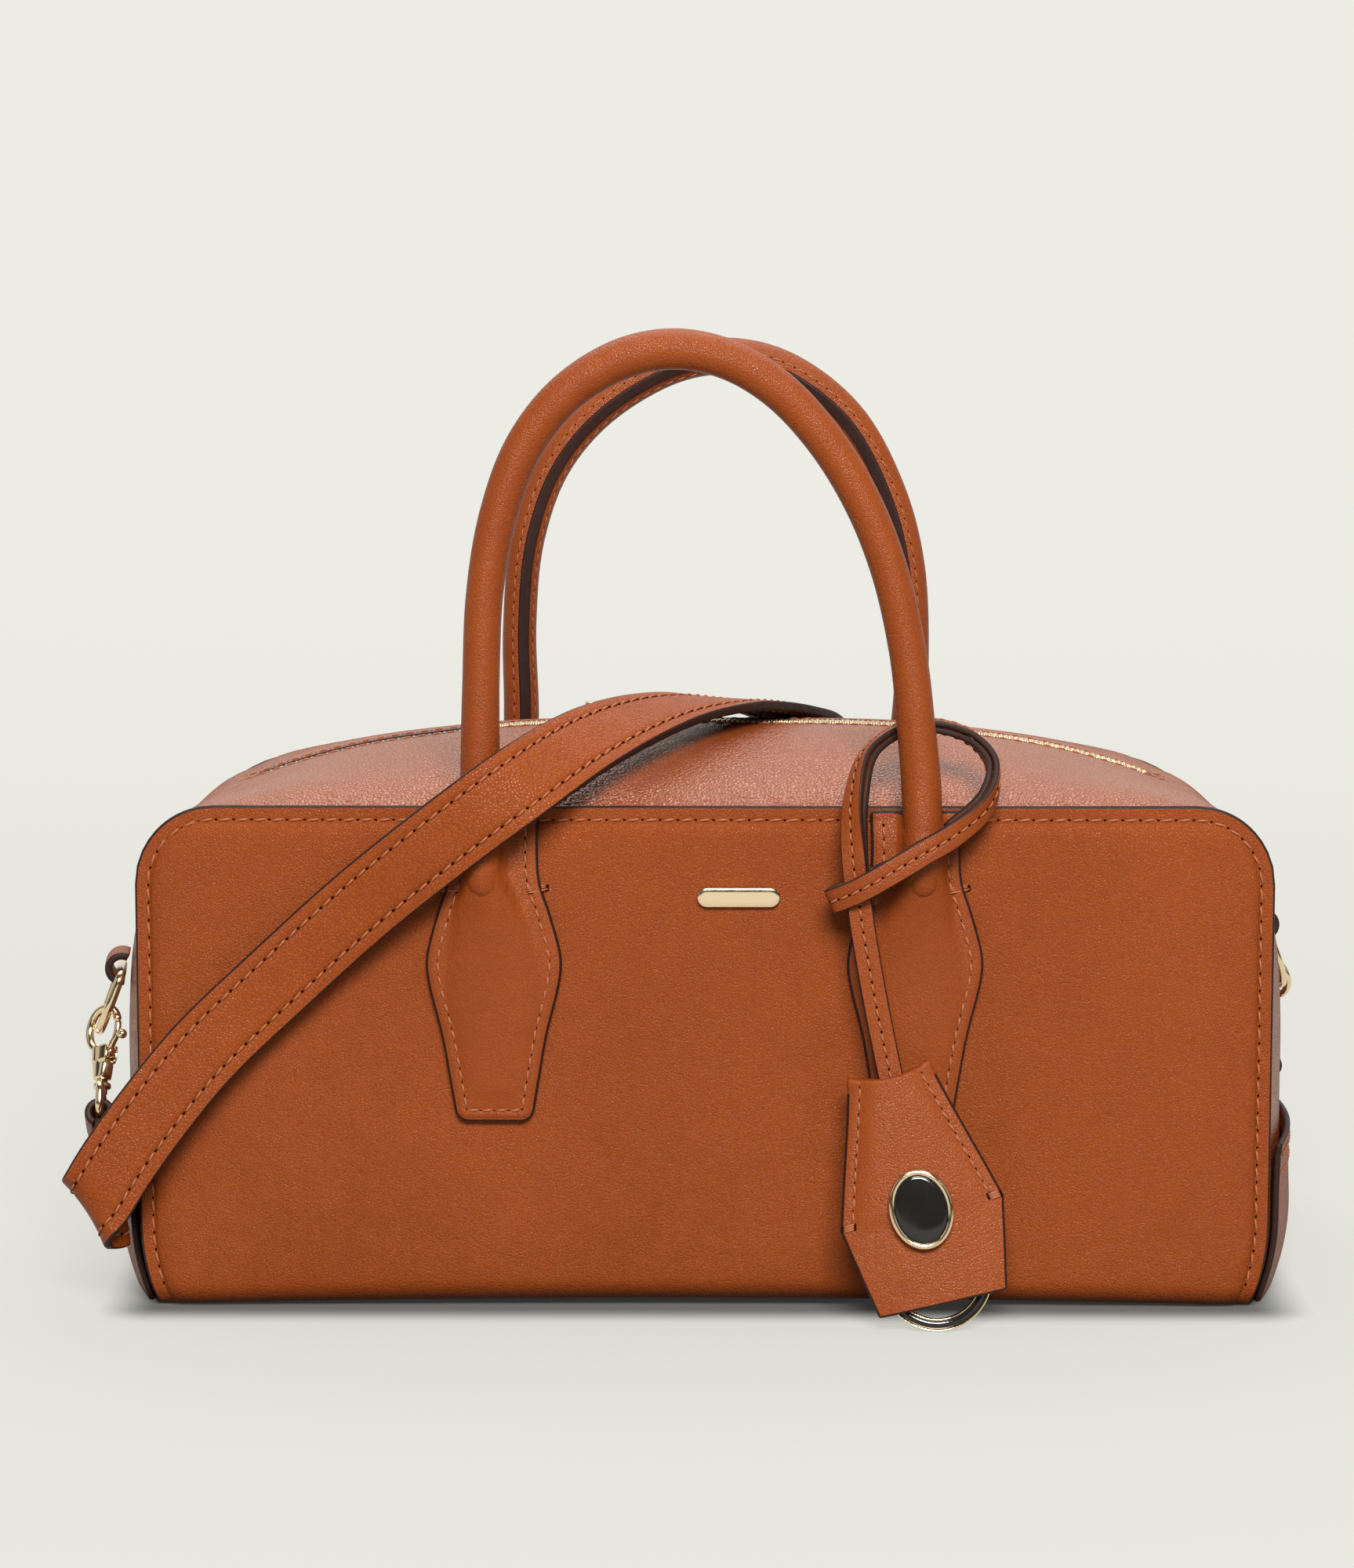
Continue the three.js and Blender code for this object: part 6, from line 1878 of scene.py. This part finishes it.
class BAG_OT_stage(bpy.types.Operator):
    """Pale floor that curves up behind, soft lights and the camera"""

    bl_idname = "bag.stage"
    bl_label = "Stage"

    def execute(self, context):
        scene = context.scene
        settings = scene.bag_stage
        self.backdrop(scene, settings)
        world = bpy.data.worlds.new("studio fill")
        world.use_nodes = True
        fill = world.node_tree.nodes["Background"]
        fill.inputs["Color"].default_value = four(settings.floor)
        fill.inputs["Strength"].default_value = settings.sky
        scene.world = world
        scene.view_settings.view_transform = "Standard"
        for name, place, size, power in LIGHTS:
            self.light(name, place, size, getattr(settings, power))
        self.camera(scene)
        return {"FINISHED"}

    @staticmethod
    def backdrop(scene, settings):
        """The floor's profile is a line, a quarter circle and a line up, drawn wide."""
        bend = np.linspace(0, np.pi / 2, 24)
        y = np.concatenate([[FLOOR_FRONT, -1000, 0, 1000], SWEEP_START + SWEEP_RADIUS * np.sin(bend),
                            [SWEEP_START + SWEEP_RADIUS]])
        z = np.concatenate([np.zeros(4), SWEEP_RADIUS * (1 - np.cos(bend)), [BACKDROP_TOP]])
        x = np.array([-FLOOR_SIDE, -1500, 0, 1500, FLOOR_SIDE])
        grid = np.stack(np.broadcast_arrays(x[None, :], y[:, None], z[:, None]), axis=-1)
        data = bpy.data.meshes.new("backdrop")
        data.from_pydata((grid * MM).reshape(-1, 3).tolist(), [], grid_faces(len(y), len(x)).tolist())
        data.polygons.foreach_set("use_smooth", np.ones(len(data.polygons), bool))
        data.materials.append(paper_material("backdrop paper", settings))
        floor = bpy.data.objects.new("backdrop", data)
        scene.collection.objects.link(floor)

    @staticmethod
    def light(name, place, size, power):
        """A soft box, wide and deep, that looks at the bag."""
        data = bpy.data.lights.new(name, "AREA")
        data.shape = "RECTANGLE"
        data.size, data.size_y = size
        data.energy = power
        lamp = bpy.data.objects.new(name, data)
        lamp.location = place
        toward = np.array([0, 0, AIM_HEIGHT]) - np.asarray(place)
        lamp.rotation_euler = mathutils.Vector(toward).to_track_quat("-Z", "Y").to_euler()
        bpy.context.scene.collection.objects.link(lamp)

    @staticmethod
    def camera(scene):
        """Camera at the photograph's place, angle and lens."""
        data = bpy.data.cameras.new("camera")
        data.lens = CAMERA_LENS
        data.sensor_width = 36.0
        data.clip_end = 50.0
        camera = bpy.data.objects.new("camera", data)
        camera.location = np.asarray(CAMERA_PLACE) * MM
        ahead = (math.sin(CAMERA_YAW) * math.cos(CAMERA_PITCH), math.cos(CAMERA_YAW) * math.cos(CAMERA_PITCH),
                 -math.sin(CAMERA_PITCH))
        camera.rotation_euler = mathutils.Vector(ahead).to_track_quat("-Z", "Y").to_euler()
        scene.collection.objects.link(camera)
        scene.camera = camera


PIECES = (BAG_OT_body, BAG_OT_gusset, BAG_OT_zip, BAG_OT_handles, BAG_OT_hardware, BAG_OT_strap, BAG_OT_charm,
          BAG_OT_front_bar, BAG_OT_stage)


class BAG_PT_panel(bpy.types.Panel):
    """Buttons and values for the bag"""

    bl_idname = "BAG_PT_panel"
    bl_label = "Leather bag"
    bl_space_type = "VIEW_3D"
    bl_region_type = "UI"
    bl_category = "Bag"

    def draw(self, context):
        for group in SETTINGS:
            settings = getattr(context.scene, group)
            for key in settings.bl_rna.properties.keys():
                if key not in ("rna_type", "name"):
                    self.layout.prop(settings, key)
        for operator in PIECES:
            self.layout.operator(operator.bl_idname)


SETTINGS = {"bag_leather": BagLeatherSettings, "bag_sewing": BagSewingSettings, "bag_metal": BagMetalSettings,
            "bag_stage": BagStageSettings}


def register():
    """Registers the classes and puts the settings on the scene."""
    for name, group in SETTINGS.items():
        bpy.utils.register_class(group)
        setattr(bpy.types.Scene, name, bpy.props.PointerProperty(type=group))
    for operator in PIECES:
        bpy.utils.register_class(operator)
    bpy.utils.register_class(BAG_PT_panel)


def unregister():
    """Takes the settings and the classes away again."""
    bpy.utils.unregister_class(BAG_PT_panel)
    for operator in reversed(PIECES):
        bpy.utils.unregister_class(operator)
    for name, group in SETTINGS.items():
        delattr(bpy.types.Scene, name)
        bpy.utils.unregister_class(group)


def main():
    register()
    make_materials(bpy.context.scene)
    for operator in PIECES:
        group, name = operator.bl_idname.split(".")
        getattr(getattr(bpy.ops, group), name)()


if __name__ == "__main__":
    main()
